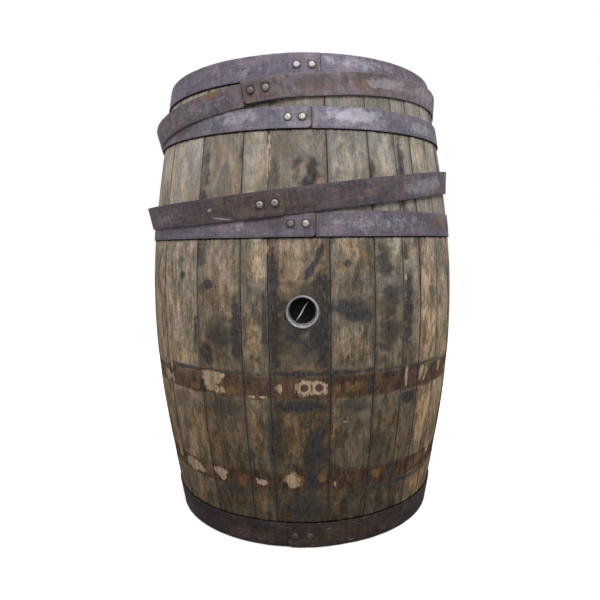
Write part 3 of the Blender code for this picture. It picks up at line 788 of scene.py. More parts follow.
def add_staves():
    material = wood_material("weathered stave oak")
    stains = [(kind, *stain) for kind, group in STAINS.items() for stain in group] + round_stains(BACK_SEED)
    for number, shade in enumerate(STAVE_SHADES, 1):
        node = "bung_stave" if number == 1 else f"stave_{number:02d}"
        left, right = stave_sides(node)
        points, faces = loft(stave_rings(number, left, right))
        mesh = make_mesh(node, points, faces)
        if number == 1:
            mesh = cut_bush_hole(mesh)
        add_stave_looks(mesh, number, left, right, shade, stains)
        add_piece(node, mesh, "cask", material)


# ---------------------------------------------------------------- heads


HEAD_RADIUS = 0.2612
HEAD_FLAT_RADIUS = 0.2512
HEAD_SECTIONS = (  # (radius, distance in from the board's long edges, height from the croze's middle)
    (HEAD_FLAT_RADIUS - 0.0012, 0.0012, 0.0070), (HEAD_FLAT_RADIUS - 0.0003, 0.0004, 0.0067),
    (HEAD_FLAT_RADIUS + 0.0006, 0.0, 0.0058), (0.2552, 0.0, 0.0045), (0.2600, 0.0, 0.0020),
    (HEAD_RADIUS, 0.0, 0.0016), (HEAD_RADIUS, 0.0, -0.0016), (0.2552, 0.0, -0.0045),
    (0.2440, 0.0, -0.0144), (0.2432, 0.0006, -0.0150),
)
HEAD_COLOUR = (0.250, 0.208, 0.168)
BOARDS = 5
BOARD_ALONG = 60
BOARD_ACROSS = 14
PAST_TENON = 0.0062  # height from the croze's middle past which a CAD board has its full width


def board_mesh(name, front, back, seed):
    """One head board: a worn top face that falls to the tenon round the rim."""
    along = np.sin(np.linspace(-math.pi / 2, math.pi / 2, BOARD_ALONG))
    across = np.linspace(0, 1, BOARD_ACROSS)
    rng = np.random.default_rng(seed)
    sink = rng.uniform(0, 0.0006)
    cup = rng.uniform(-0.0006, 0.0002)

    def spots(shares, radius, inset, height):
        y = front + inset + shares[:, 1] * (back - front - 2 * inset)
        x = shares[:, 0] * np.sqrt(np.maximum(radius**2 - y**2, 0))
        return np.stack([x, y, np.full(len(x), height)], -1)

    def wear(points, amount):
        middle = 1 - ((points[:, 1] - (front + back) / 2) / ((back - front) / 2)) ** 2
        points[:, 2] -= amount * (sink - cup * middle)
        points[:, 2] += amount * 0.00018 * waves(points[:, :2] * (0.12, 1), 0.018, seed + 1)
        return points

    a, c = np.meshgrid(along, across, indexing="ij")
    grid = np.stack([a.ravel(), c.ravel()], -1)
    index = np.arange(len(grid)).reshape(BOARD_ALONG, BOARD_ACROSS)
    rim = np.concatenate([index[:-1, 0], index[-1, :-1], index[:0:-1, -1], index[0, :0:-1]])
    top = wear(spots(grid, *HEAD_SECTIONS[0]), 1.0)
    points = [top]
    corners = (index[:-1, :-1], index[1:, :-1], index[1:, 1:], index[:-1, 1:])
    faces = np.stack(corners, -1).reshape(-1, 4).tolist()
    ring = rim
    start = len(top)
    for level, section in enumerate(HEAD_SECTIONS[1:], 1):
        points.append(wear(spots(grid[rim], *section), max(0.0, 1 - level / 3)))
        after = start + np.arange(len(rim))
        for here in range(len(rim)):
            there = (here + 1) % len(rim)
            faces.append([int(ring[here]), int(ring[there]), int(after[there]), int(after[here])])
        ring = after
        start += len(rim)
    faces.append([int(corner) for corner in ring])
    mesh = make_mesh(name, np.concatenate(points), faces, 35)
    flat = places(mesh)
    store(mesh, "grain", np.stack([flat[:, 1] + seed, flat[:, 0] + 0.3 * seed, flat[:, 2]], -1))
    return mesh, flat


def add_board_looks(mesh, flat, front, back, seed):
    """Stores a board's tone and dirt, with dark joints, and darkens it towards the rim."""
    rng = np.random.default_rng(seed + 7)
    rim = np.hypot(flat[:, 0], flat[:, 1])
    from_side = np.minimum(flat[:, 1] - front, back - flat[:, 1])
    spot = flat[:, :2]
    dirt = waves(spot, 0.09, seed + 2)
    round_rim = smooth(rim, 0.232, 0.256) * (0.62 + 0.15 * dirt)
    at_joints = smooth(from_side, 0.005, 0.0003) * 0.75
    cloudy = np.clip(0.16 + 0.16 * waves(spot, 0.19, 77) + 0.10 * waves(spot, 0.045, 81), 0, 0.6)
    store(mesh, "dark", np.maximum(np.maximum(round_rim, at_joints), cloudy))
    store(mesh, "pale", np.clip(0.22 + 0.25 * waves(spot, 0.15, 78), 0, 1))
    store(mesh, "ochre", np.clip(0.06 + 0.20 * waves(spot, 0.12, 79), 0, 1))
    store(mesh, "rust", np.clip(0.10 + 0.25 * waves(spot, 0.05, 80), 0, 1) * smooth(rim, 0.20, 0.25))
    store(mesh, "cream", np.zeros(len(flat)))
    store(mesh, "mark", np.ones((len(flat), 3)))
    store(mesh, "under", np.ones(len(flat)))
    store(mesh, "calm", np.zeros(len(flat)))
    tone = np.array(HEAD_COLOUR) * rng.uniform(0.86, 1.14)
    store(mesh, "tone", tone * (1 + 0.08 * dirt)[:, None])


def add_heads():
    material = wood_material("weathered head oak")
    croze = (CROZE[0] + CROZE[-1]) / 2
    ends = {
        "top_head": Matrix.Translation((0, 0, HEIGHT - croze)),
        "bottom_head": Matrix.Translation((0, 0, croze)) @ Matrix.Rotation(math.pi, 4, "X"),
    }
    for head, matrix in ends.items():
        for number in range(1, BOARDS + 1):
            node = f"{head}_board_{number}"
            spots = places(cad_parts[node].data)
            local = spots[:, 1] if head == "top_head" else -spots[:, 1]
            outer = np.abs(spots[:, 2] - matrix.translation.z) > PAST_TENON
            front, back = local[outer].min(), local[outer].max()
            seed = 40 + 10 * number + (0 if head == "top_head" else 5)
            mesh, flat = board_mesh(node, front, back, seed)
            add_board_looks(mesh, flat, front, back, seed)
            mesh.transform(matrix)
            add_piece(node, mesh, "cask", material)


# ---------------------------------------------------------------- hoops


class Hoop:
    """Where a riveted strip lies, as in the CAD model, and how worn it is."""

    def __init__(
        self, name, low, width, rivets, lap_side, body, slot, steel,
        centre=None, tilt=(0, 0), slack=0.0, rivet_rise=0.0, lap_rise=0.0, lap_shadow_line=True,
    ):
        self.name = name
        self.lap_shadow_line = lap_shadow_line
        self.width = width
        self.lap_rise = lap_rise
        self.low_radius = radius_at(low) + HOOP_CLEARANCE + slack
        self.high_radius = radius_at(low + width) + HOOP_CLEARANCE + slack
        self.rivet_rise = rivet_rise
        self.rivets = rivets
        self.lap_side = lap_side
        self.body = body
        self.slot = slot
        self.steel = steel
        self.wear = HOOP_WEAR[name]
        self.matrix = Matrix.Translation(centre or (0, 0, low + width / 2)) @ tilted(*tilt)
        self.seed = 1000 + 37 * sum(map(ord, name)) % 997

    @property
    def length(self):
        """Degrees along the strip from its hidden inner end to its outer end."""
        return 360 + self.rivets[1] - self.rivets[0] + 2 * LAP_MARGIN

    @property
    def inner_end(self):
        if self.lap_side > 0:
            return self.rivets[0] - LAP_MARGIN
        return self.rivets[1] + LAP_MARGIN

    def radius(self, height):
        return self.low_radius + (height / self.width + 0.5) * (self.high_radius - self.low_radius)

    def climb(self, along):
        """How far the strip has climbed onto its own inner end."""
        return (HOOP_THICKNESS + GAP) * min(max((along - 360 + LAP_RAMP) / LAP_RAMP, 0), 1)


STRIP_EDGE = 0.00055
STRIP_ACROSS = 9
LAP_CORNER = 0.0085  # radius of the outer end's lower corner
LAP_TOP_CORNER = 0.0020
LAP_RINGS = (1.3, 1.0, 0.8, 0.6, 0.42, 0.27, 0.15, 0.07, 0.02, 0.0)  # from the outer end, in corner radii


def strip_section(half):
    """Closed section of a strip as (height, offset outwards), with rounded edges."""
    r = STRIP_EDGE
    face = [(height, HOOP_THICKNESS) for height in np.linspace(-half + r, half - r, STRIP_ACROSS)]
    top = arc((half - r, HOOP_THICKNESS - r), r, 90, 0, 4)[1:] + arc((half - r, r), r, 0, -90, 3)
    bottom = arc((-half + r, r), r, -90, -180, 3) + arc((-half + r, HOOP_THICKNESS - r), r, 180, 90, 4)[:-1]
    return face + top + bottom


def corner_cut(from_end, corner):
    """How much a rounded corner takes off the strip's width, this far from its end."""
    if from_end >= corner:
        return 0.0
    return corner - math.sqrt(max(corner**2 - (corner - from_end) ** 2, 0))


def strip_rings(hoop):
    """Rings along the strip, with small bends, and the coordinates that its material reads."""
    metre = math.degrees(1 / hoop.radius(0))
    alongs = list(np.arange(0, hoop.length - 1.4 * LAP_CORNER * metre, 1.0))
    alongs += [hoop.length - LAP_CORNER * share * metre for share in LAP_RINGS]
    section = strip_section(hoop.width / 2)
    rings = []
    runs = []
    for along in alongs:
        spot = [[math.radians(along) * hoop.low_radius, 0.0]]
        lift = 0.00018 * waves(spot, 0.35, hoop.seed)[0] * (0 if hoop.name == "bottom_head_hoop" else 1)
        lift += hoop.lap_rise * smooth(along, hoop.length - 32, hoop.length - 10)
        from_end = (hoop.length - along) / metre
        low_cut = corner_cut(from_end, LAP_CORNER)
        high_cut = corner_cut(from_end, LAP_TOP_CORNER)
        ring = []
        for height, offset in section:
            share = height / hoop.width + 0.5
            level = -hoop.width / 2 + low_cut + share * (hoop.width - low_cut - high_cut)
            edge = 0.0003 * waves([[spot[0][0], height]], 0.05, hoop.seed + 1)[0] * (2 * share - 1) ** 2
            dent = -0.00025 * abs(waves([[spot[0][0], height]], 0.06, hoop.seed + 2)[0])
            radius = hoop.radius(level) + hoop.climb(along) + offset + dent
            turn = hoop.inner_end + hoop.lap_side * along
            ring.append(facing(turn, radius, level - abs(edge) * np.sign(level) + lift))
            runs.append((spot[0][0], level, offset))
        rings.append(ring)
    return rings, np.array(runs)


WEAR_SQUARENESS = 2.5
BACK_WEAR = 26  # patches of wear on a hoop's sides and back
BACK_WEAR_PLACES = (66, 294)  # degrees that they are spread over
RIVET_RUST_AND_SHADE = (0.0125, 0.0065)  # reach from a rivet's middle where its rust and painted shadow begin and are full
HOOP_MASKS = ("rust", "orange", "scuff", "soot")


def steel_masks(hoop, degrees, share, runs):
    """Each kind of wear's strength at every vertex of a strip, with painted highlights among the scuffed
    patches and painted shadows round the rivets.
    """
    spot = runs[:, :2]
    ragged = 0.20 * waves(spot, 0.030, hoop.seed + 3) + 0.12 * waves(spot, 0.010, hoop.seed + 4)
    masks = {kind: np.zeros(len(share)) for kind in HOOP_MASKS}
    rng = np.random.default_rng(hoop.seed + 9)
    back = []
    for _ in range(BACK_WEAR):
        middle = rng.uniform(*BACK_WEAR_PLACES)
        half = rng.uniform(1.5, 9)
        level = rng.uniform(0, 1)
        tall = rng.uniform(0.15, 0.5)
        kind = rng.choice(["rust", "scuff", "orange", "soot"], p=[0.4, 0.3, 0.1, 0.2])
        back.append((kind, middle - half, middle + half, level - tall, level + tall, rng.uniform(0.3, 0.6)))
    worn = [(kind, *patch) for kind, group in hoop.wear.items() for patch in group]
    for kind, left, right, low, high, strength in worn + back:
        middle = (left + right) / 2
        sideways = swing(degrees, middle) / ((right - left) / 2)
        upward = (share - (low + high) / 2) / ((high - low) / 2)
        distance = patch_reach(sideways, upward, WEAR_SQUARENESS) + ragged
        lay(masks, kind, strength * smooth(distance, 1.40, 0.45))
    edge = smooth(np.minimum(share, 1 - share) * hoop.width, 0.0022, 0.0004)
    masks["soot"] = np.maximum(masks["soot"], 0.50 * edge)
    # Round each rivet: rust, and a painted shadow ring in near black.
    for degree in hoop.rivets:
        aside = np.radians(degrees - degree) * hoop.radius(0)
        upward = (share - 0.5) * hoop.width - hoop.rivet_rise
        around = smooth(np.hypot(aside, upward), *RIVET_RUST_AND_SHADE)
        masks["soot"] = np.maximum(masks["soot"], 0.80 * around)
        masks["rust"] = np.maximum(masks["rust"], 0.40 * around)
    return masks


# White nicks in the loose bilge hoop: degrees, share of its width, half length, half width, slant
NICKS = {
    "nick_1": (-28.4, 0.53, 0.0048, 0.0026, 20.0),
    "nick_2": (-24.6, 0.15, 0.0190, 0.0013, -11.0),
}
NICKED_HOOP = "slipped_bilge_hoop"


def from_nick(hoop, degrees, runs, nick):
    """Place in a nick's own frame, where the nick is a circle of radius 1."""
    degree, share, length, width, slant = nick
    if hoop.name != NICKED_HOOP:
        return np.full((len(degrees), 3), 100.0)
    aside = np.radians(degrees - degree) * hoop.radius(0)
    upward = runs[:, 1] - (share - 0.5) * hoop.width
    cosine = math.cos(math.radians(slant))
    sine = math.sin(math.radians(slant))
    along = (aside * cosine + upward * sine) / length
    across = (upward * cosine - aside * sine) / width
    return np.stack([along, across, (runs[:, 2] - HOOP_THICKNESS) / width], -1)


def steel_material(name, rust_dark, rust_light, orange):
    """Old hoop steel: purple-grey scale, brown rust, orange bloom, bright scuffs that are partly painted
    highlights, scratches, and painted shadows round the rivets and past the lap's outer end.
    """
    nodes = Nodes(name)
    run = nodes.attribute("run", "Vector")
    cloud = nodes.noise(run, (22, 40, 30), 4, 0.62, 0.5)
    mottle = nodes.noise(run, (110, 170, 140), 5, 0.68, 0.3)
    grit = nodes.noise(run, (900, 900, 900), 3, 0.6)
    drawn = nodes.noise(run, (12, 620, 40), 3, 0.6)
    wiped = nodes.noise(run, (90, 40, 40), 5, 0.70, 0.8)
    runs_down = nodes.noise(run, (190, 14, 60), 3, 0.6, 0.3)
    scratch = nodes.spread(nodes.noise(run, (55, 900, 60), 1, 0.5, 0.9), 0.665, 0.70)

    shade = nodes.spread(mottle, 0.28, 0.72, 0.76, 1.24)
    shade = nodes.vary(shade, 0.3, 0.7, (cloud, 0.78, 1.22), (grit, 0.80, 1.20), (drawn, 0.90, 1.10))
    shade = nodes.vary(shade, 0.3, 0.7, (wiped, 0.86, 1.16), (runs_down, 0.88, 1.12))
    warm = nodes.mix(nodes.spread(cloud, 0.42, 0.62), (1.0, 0.99, 1.03), (1.05, 0.94, 0.91))
    steel = nodes.scale(nodes.product(nodes.attribute("tone", "Color"), warm), shade)

    breakup = nodes.total((mottle, 0.7), (cloud, 0.6), (wiped, 0.3), less=0.80)
    rusted = nodes.mask("rust", breakup, 0.28, 0.70)
    patchy = nodes.total((cloud, 0.45), (mottle, 0.25), (runs_down, 0.30))
    rust = nodes.mix(nodes.spread(patchy, 0.36, 0.64), rust_dark, rust_light)
    rust = nodes.scale(rust, nodes.spread(grit, 0.3, 0.7, 0.78, 1.24))
    metal = nodes.cover(steel, rusted, 0.88, rust)
    bloom = nodes.mask("orange", breakup, 0.38, 0.66)
    metal = nodes.cover(metal, bloom, 0.75, orange)
    # Soot, with the painted shadows round the rivets and at the lap ends, in near black.
    sooty_and_shaded = nodes.mask("soot", breakup, 0.34, 0.80)
    metal = nodes.cover(metal, sooty_and_shaded, 0.72, (0.028, 0.024, 0.026))
    # Scuffed bare steel that is partly painted highlights: a pale colour, and less rough further down.
    rubbed = nodes.total((wiped, 0.7), (mottle, 0.9), (grit, 1.0), (drawn, 0.4), less=1.50)
    shiny = nodes.mask("scuff", rubbed, 0.18, 0.98)
    metal = nodes.cover(metal, shiny, 0.80, (0.47, 0.45, 0.52))
    nicked = nodes.times(scratch, nodes.spread(cloud, 0.50, 0.62))
    metal = nodes.cover(metal, nicked, 0.55, (0.46, 0.43, 0.43))

    for nick in NICKS:
        reach = nodes.length(nick)
        ragged = nodes.plus(reach, nodes.times(nodes.minus(grit, 0.5), 1.6))
        metal = nodes.mix(nodes.spread(ragged, 0.75, 1.05, 0.92, 0.0), metal, (0.56, 0.50, 0.45))
    # Painted shadow: a near-black line on the strip just past the lap's outer end.
    past_lap = nodes.plus(nodes.attribute("lap"), nodes.times(breakup, 0.0016))
    metal = nodes.mix(nodes.spread(past_lap, 0.0006, 0.0026, 0.88, 0.0), metal, (0.012, 0.010, 0.011))

    bare = nodes.minus(1.0, nodes.math("MAXIMUM", rusted, sooty_and_shaded))
    metallic = nodes.spread(bare, 0.0, 1.0, 0.05, 0.45)
    dull = nodes.spread(nodes.total((mottle, 0.6), (grit, 0.4)), 0.3, 0.7, 0.50, 0.80)
    roughness = nodes.minus(dull, nodes.times(shiny, 0.20))
    relief = [(cloud, 0.0010), (mottle, 0.0005), (drawn, 0.00012), (grit, 0.00015)]
    return nodes.finish(metal, roughness, relief, 0.30, metallic)


# Where each hoop is worn, with painted light and shade among the patches: the scuffed ones are partly
# painted highlights and the dark ones at the lap ends are painted shadows. (from and to degrees, from and
# to share of its width, strength)
HOOP_WEAR = {
    "top_head_hoop": {
        "scuff": (
            (8.5, 13, 0.5, 1.0, 0.52), (15, 31, 0.45, 0.95, 0.56), (-21, -17, 0.1, 0.6, 0.42),
            (-30, -12, 0.2, 0.9, 0.25), (32, 52, 0.3, 0.8, 0.35),
        ),
        "rust": ((5.0, 7.4, 0.0, 1.0, 0.45), (-44, -30, 0.0, 0.3, 0.30), (-8, 7, 0.0, 0.35, 0.35)),
        # the dark patch just past the lap's outer end is a painted shadow
        "soot": ((7.0, 8.2, 0.1, 1.0, 0.62),),
    },
    "slipped_quarter_hoop": {
        "rust": (
            (-62, -18, 0.0, 1.0, 0.40), (-18, -4, 0.0, 1.0, 0.62), (18, 42, 0.1, 1.1, 0.66),
            (-4, 18, 0.0, 1.0, 0.56),
        ),
        "orange": (
            (-42, -34, 0.0, 0.5, 0.40), (-33, -24, 0.6, 1.1, 0.66), (-26, -21, 0.0, 0.5, 0.45),
            (3, 6, 0.1, 0.6, 0.45),
        ),
        "scuff": ((24, 46, 0.3, 0.9, 0.66), (46, 70, 0.1, 0.9, 0.55), (-64, -20, 0.0, 1.0, 0.42)),
        "soot": ((-60, -44, 0.0, 0.4, 0.45), (17, 30, 0.75, 1.1, 0.55), (-12, 15, 0.15, 1.0, 0.42)),
    },
    "upper_quarter_hoop": {
        "scuff": (
            (-31, -13, 0.25, 0.95, 0.62), (6, 32, 0.3, 1.0, 0.66), (14, 24, 0.3, 0.9, 0.62),
            (42, 60, 0.1, 0.8, 0.62),
        ),
        "orange": ((-43, -36, 0.1, 0.8, 0.50), (2.2, 3.6, 0.6, 1.0, 0.50)),
        "rust": ((-62, -38, 0.0, 1.0, 0.60), (1.8, 4.2, 0.2, 1.0, 0.52), (36, 60, 0.0, 1.0, 0.22)),
        # the dark patch just past the lap's outer end is a painted shadow
        "soot": ((3.6, 5.0, 0.0, 1.0, 0.66),),
    },
    "slipped_bilge_hoop": {
        "rust": ((-64, -30, 0.0, 1.1, 0.40), (-32, 10, 0.0, 1.0, 0.66), (8, 30, 0.0, 1.0, 0.34)),
        "orange": (
            (-56, -44, 0.2, 0.7, 0.38), (8, 13, 0.5, 0.8, 0.55), (17, 24, 0.2, 0.8, 0.48),
            (54, 64, 0.0, 0.8, 0.36),
        ),
        "scuff": ((34, 60, 0.1, 0.9, 0.62), (-64, -36, 0.1, 0.9, 0.36)),
        "soot": ((-6, 6, 0.0, 0.3, 0.42), (-27, 12, 0.1, 1.0, 0.46)),
    },
    "upper_bilge_hoop": {
        "orange": (
            (4.0, 5.4, 0.45, 1.0, 0.72), (-52, -46, 0.1, 0.6, 0.45), (-36, -28, 0.1, 0.5, 0.40),
            (48, 66, 0.0, 1.0, 0.50), (34, 41, 0.7, 1.0, 0.40),
        ),
        "rust": (
            (2.6, 6.2, 0.0, 1.0, 0.55), (-60, -24, 0.0, 0.6, 0.36), (44, 66, 0.0, 1.0, 0.56),
            (-12, -4, 0.2, 1.0, 0.55),
        ),
        "scuff": ((-21, -17, 0.2, 0.8, 0.60), (9, 42, 0.2, 0.8, 0.44)),
    },
    "bottom_head_hoop": {
        "rust": ((-64, 64, 0.0, 1.0, 0.52),),
        "scuff": ((-36, -30, 0.0, 0.12, 0.60),),
        "orange": ((8, 20, 0.3, 0.8, 0.22), (34, 60, 0.3, 0.9, 0.26)),
        "soot": ((-40, 40, 0.0, 0.25, 0.50),),
    },
}


HOOPS = (
    Hoop("top_head_hoop", 0.8440, 0.0440, (-1.0, 4.3), 1, "cask", "hoop_steel", (0.168, 0.150, 0.190)),
    Hoop("slipped_quarter_hoop", 0.1150, QUARTER_HOOP_WIDTH, (-14.1, -9.0), -1, "loose_quarter_hoop",
         "rusted_hoop_steel", (0.225, 0.190, 0.208),
         (-0.0082, 0.0038, 0.8134), (5.71, 2.42), rivet_rise=0.0040, lap_rise=0.0032),
    Hoop("upper_quarter_hoop", 0.7664, QUARTER_HOOP_WIDTH, (-4.0, 0.7), 1, "cask",
         "hoop_steel", (0.200, 0.186, 0.225), (0, -0.0012, 0.7855), (0, -1.9), slack=0.0010),
    Hoop("slipped_bilge_hoop", 0.2830, BILGE_HOOP_WIDTH, (-11.4, -6.9), 1, "loose_bilge_hoop",
         "rusted_hoop_steel", (0.150, 0.126, 0.140),
         (-0.0078, -0.0068, 0.6634), (6.17, -5.31), lap_shadow_line=False),
    Hoop("upper_bilge_hoop", 0.5790, BILGE_HOOP_WIDTH, (-3.2, 1.3), 1, "cask",
         "hoop_steel", (0.168, 0.150, 0.182), (0, -0.0006, 0.6013), (0, -1.1)),
    Hoop("bottom_head_hoop", 0.0010, HEAD_HOOP_WIDTH, (-3.7, 1.8), -1, "cask",
         "rusted_hoop_steel", (0.060, 0.046, 0.044)),
)


STEELS = {  # dark rust, light rust and orange bloom
    "hoop steel": ((0.052, 0.034, 0.032), (0.145, 0.090, 0.075), (0.300, 0.160, 0.085)),
    "rusted hoop steel": ((0.070, 0.046, 0.042), (0.215, 0.146, 0.118), (0.330, 0.190, 0.085)),
    "dark rusted hoop steel": ((0.024, 0.015, 0.012), (0.094, 0.047, 0.031), (0.160, 0.080, 0.036)),
}


def add_hoops():
    steels = {name: steel_material(name, *rusts) for name, rusts in STEELS.items()}
    for hoop in HOOPS:
        rings, runs = strip_rings(hoop)
        points, faces = loft(rings)
        mesh = make_mesh(hoop.name, points, faces, 50)
        spots = places(mesh)
        degrees = np.degrees(np.arctan2(spots[:, 0], -spots[:, 1]))
        share = np.clip(runs[:, 1] / hoop.width + 0.5, 0, 1)
        for kind, values in steel_masks(hoop, degrees, share, runs).items():
            store(mesh, kind, values)
        drift = 1 + 0.10 * waves(runs[:, :2], 0.30, hoop.seed + 5)
        store(mesh, "tone", np.array(hoop.steel) * drift[:, None])
        for name, nick in NICKS.items():
            store(mesh, name, from_nick(hoop, degrees, runs, nick))
        # Distance past the lap's outer end, for its painted shadow; moved out of reach where a hoop has
        # none.
        past_lap = runs[:, 0] - math.radians(hoop.length - 360) * hoop.low_radius
        store(mesh, "lap", past_lap + (0 if hoop.lap_shadow_line else 1))
        store(mesh, "run", runs + (hoop.seed % 13, 0.1 * (hoop.seed % 7), 0))
        mesh.transform(hoop.matrix)
        kind = hoop.slot.replace("_", " ")
        if hoop.name == "bottom_head_hoop":
            kind = f"dark {kind}"
        add_piece(hoop.name, mesh, hoop.body, steels[kind])
        add_rivets(hoop)


# ---------------------------------------------------------------- rivets


RIVET_RADIUS = 0.0065
RIVET_HEIGHT = 0.0028
RIVET_SHANK = 0.0027
RIVET_DIMPLE = (0.0013, 0.0005)  # radius, depth

RIVET_LOOKS = {  # (colour, rust) of the left and the right rivet
    "top_head_hoop": (((0.58, 0.56, 0.57), 0.10), ((0.60, 0.58, 0.58), 0.10)),
    "slipped_quarter_hoop": (((0.36, 0.28, 0.26), 0.42), ((0.48, 0.40, 0.38), 0.30)),
    "upper_quarter_hoop": (((0.66, 0.62, 0.57), 0.10), ((0.68, 0.62, 0.54), 0.12)),
    "slipped_bilge_hoop": (((0.62, 0.56, 0.51), 0.14), ((0.56, 0.52, 0.49), 0.18)),
    "upper_bilge_hoop": (((0.34, 0.28, 0.26), 0.42), ((0.60, 0.53, 0.45), 0.14)),
    "bottom_head_hoop": (((0.16, 0.13, 0.12), 0.30), ((0.24, 0.19, 0.12), 0.40)),
}


def small_noises(nodes, coarse, fine, roughness=0.6):
    """Mottling and grit of a small piece, by features to the metre."""
    place = nodes.attribute("run", "Vector")
    return nodes.noise(place, (coarse,) * 3, 4, 0.65), nodes.noise(place, (fine,) * 3, 3, roughness)


def rivet_material():
    nodes = Nodes("zinc rivet")
    mottle, grit = small_noises(nodes, 260, 1500)
    metal = nodes.scale(nodes.attribute("tone", "Color"), nodes.spread(mottle, 0.3, 0.7, 0.45, 1.0))
    breakup = nodes.total((mottle, 1.0), (grit, 0.5), less=0.75)
    rust = nodes.mask("rust", breakup, 0.30, 0.75)
    metal = nodes.cover(metal, rust, 0.8, (0.090, 0.052, 0.034))
    # Painted shade in the centre dimple and a painted shadow round the head's rim.
    soot = nodes.mask("soot", breakup, 0.35, 0.75)
    metal = nodes.cover(metal, soot, 0.85, (0.030, 0.025, 0.024))
    roughness = nodes.spread(mottle, 0.3, 0.7, 0.36, 0.62)
    metallic = nodes.spread(rust, 0.0, 1.0, 0.55, 0.10)
    return nodes.finish(metal, roughness, [(mottle, 0.0004), (grit, 0.0001)], 0.5, metallic)


def rivet_profile():
    """Domed head with a centre dimple and a rounded rim, and the shank through both layers."""
    dimple, depth = RIVET_DIMPLE
    profile = [(0.0, RIVET_HEIGHT - depth)]
    for share in np.linspace(0.12, 1, 12):
        radius = RIVET_RADIUS * share
        dome = RIVET_HEIGHT * math.sqrt(max(1 - share**2.3, 0))
        profile.append((radius, dome - depth * math.exp(-((radius / dimple) ** 2))))
    tail = -(2 * HOOP_THICKNESS + GAP + RIVET_LIFT)
    return profile + [(RIVET_RADIUS - 0.0006, 0.0), (RIVET_SHANK, 0.0), (RIVET_SHANK, tail), (0.0, tail)]


def add_rivets(hoop):
    points, faces = turned(rivet_profile(), 40)
    for side, degrees, (colour, rust) in zip(("left", "right"), hoop.rivets, RIVET_LOOKS[hoop.name]):
        node = f"{hoop.name}_rivet_{side}"
        seed = hoop.seed + round(10 * degrees)
        shaped = np.array(points)
        shaped[:, 2] -= 0.00022 * np.abs(waves(shaped, 0.006, seed)) * (shaped[:, 2] > 0.0004)
        mesh = make_mesh(node, shaped, faces, 45)
        reach = np.hypot(shaped[:, 0], shaped[:, 1])
        store(mesh, "tone", np.tile(colour, (len(shaped), 1)))
        store(mesh, "run", shaped + seed * 0.013)
        store(mesh, "rust", rust + 0.30 * smooth(reach, 0.004, 0.0065))
        # Painted shade in the centre dimple and a painted shadow round the head's rim, in the dark mask.
        dimple = smooth(reach, RIVET_DIMPLE[0], 0.0003)
        store(mesh, "soot", np.maximum(0.75 * dimple, 0.85 * smooth(reach, 0.0050, 0.0064)))
        outward = facing(degrees, hoop.width, hoop.low_radius - hoop.high_radius).normalized()
        seat = hoop.radius(hoop.rivet_rise) + 2 * HOOP_THICKNESS + GAP + RIVET_LIFT
        surface = facing(degrees, seat, hoop.rivet_rise)
        turn = outward.to_track_quat("Z", "Y").to_matrix().to_4x4()
        mesh.transform(hoop.matrix @ Matrix.Translation(surface) @ turn)
        add_piece(node, mesh, hoop.body, RIVET_FINISH)


# ---------------------------------------------------------------- bung


BUSH_FLANGE = 0.0028
BUSH_DEPTH = 0.0335
BUSH_BODY = (0.0268, 0.0236)
BUSH_BORE = (0.0246, 0.0211)
PLUG_FACE_DEPTH = 0.0195
PLUG_LENGTH = 0.0165
PLUG_CLEARANCE = 0.0004
PLUG_DISH = (0.0190, 0.0030)  # radius, depth
RIB_SLANT = 57.0
RIB_HALF_WIDTH = 0.00155
RIB_CREST = 0.0010


def bore_at(depth):
    return BUSH_BORE[0] + depth / BUSH_DEPTH * (BUSH_BORE[1] - BUSH_BORE[0])


def bush_profile(flange):
    """Flange with a rolled lip, tapered body and threadless tapered bore, as a closed section."""
    lip = 0.0011
    rolled = arc((flange - lip, -lip), lip, 0, 90, 6)
    inner = arc((bore_at(0) + lip, -lip), lip, 90, 170, 6)
    body = [(BUSH_BODY[0], -BUSH_FLANGE), (BUSH_BODY[1], -BUSH_DEPTH), (BUSH_BORE[1], -BUSH_DEPTH)]
    bore = [(bore_at(depth), -depth) for depth in np.linspace(BUSH_DEPTH * 0.9, 0.003, 9)]
    return [(flange, -BUSH_FLANGE)] + rolled + inner + bore[::-1] + body[::-1]


def bush_material():
    nodes = Nodes("dull bush metal")
    mottle, grit = small_noises(nodes, 160, 1300)
    turned_marks = nodes.noise(nodes.attribute("run", "Vector"), (14, 1400, 14), 2, 0.5)
    tone = nodes.mix(nodes.spread(mottle, 0.3, 0.7), (0.33, 0.325, 0.325), (0.56, 0.555, 0.56))
    tone = nodes.scale(tone, nodes.spread(turned_marks, 0.3, 0.7, 0.88, 1.10))
    # The dark mask holds painted shade on the upper-left side and a painted shadow round the flange's outer
    # edge.
    soot = nodes.mask("soot", nodes.total((mottle, 1.0), (grit, 0.4), less=0.7), 0.3, 0.8)
    tone = nodes.cover(tone, soot, 0.75, (0.050, 0.045, 0.043))
    roughness = nodes.spread(mottle, 0.3, 0.7, 0.40, 0.60)
    relief = [(mottle, 0.0003), (turned_marks, 0.00008), (grit, 0.00008)]
    return nodes.finish(tone, roughness, relief, 0.5, 0.45)


def plug_material():
    nodes = Nodes("black bung plastic")
    mottle, grit = small_noises(nodes, 240, 1400, 0.65)
    black = nodes.mix(nodes.spread(mottle, 0.3, 0.7), (0.002, 0.002, 0.003), (0.008, 0.008, 0.009))
    dust = nodes.times(nodes.spread(grit, 0.62, 0.72), 0.25)
    black = nodes.mix(dust, black, (0.12, 0.115, 0.11))
    # The pale crest of the rib, stored as worn, is a painted highlight.
    worn = nodes.mask("worn", nodes.total((mottle, 0.5), (grit, 0.3), less=0.4), 0.35, 0.60)
    black = nodes.mix(worn, black, (0.72, 0.70, 0.68))
    roughness = nodes.spread(mottle, 0.3, 0.7, 0.42, 0.62)
    return nodes.finish(black, roughness, [(mottle, 0.0004), (grit, 0.0001)], 0.12)


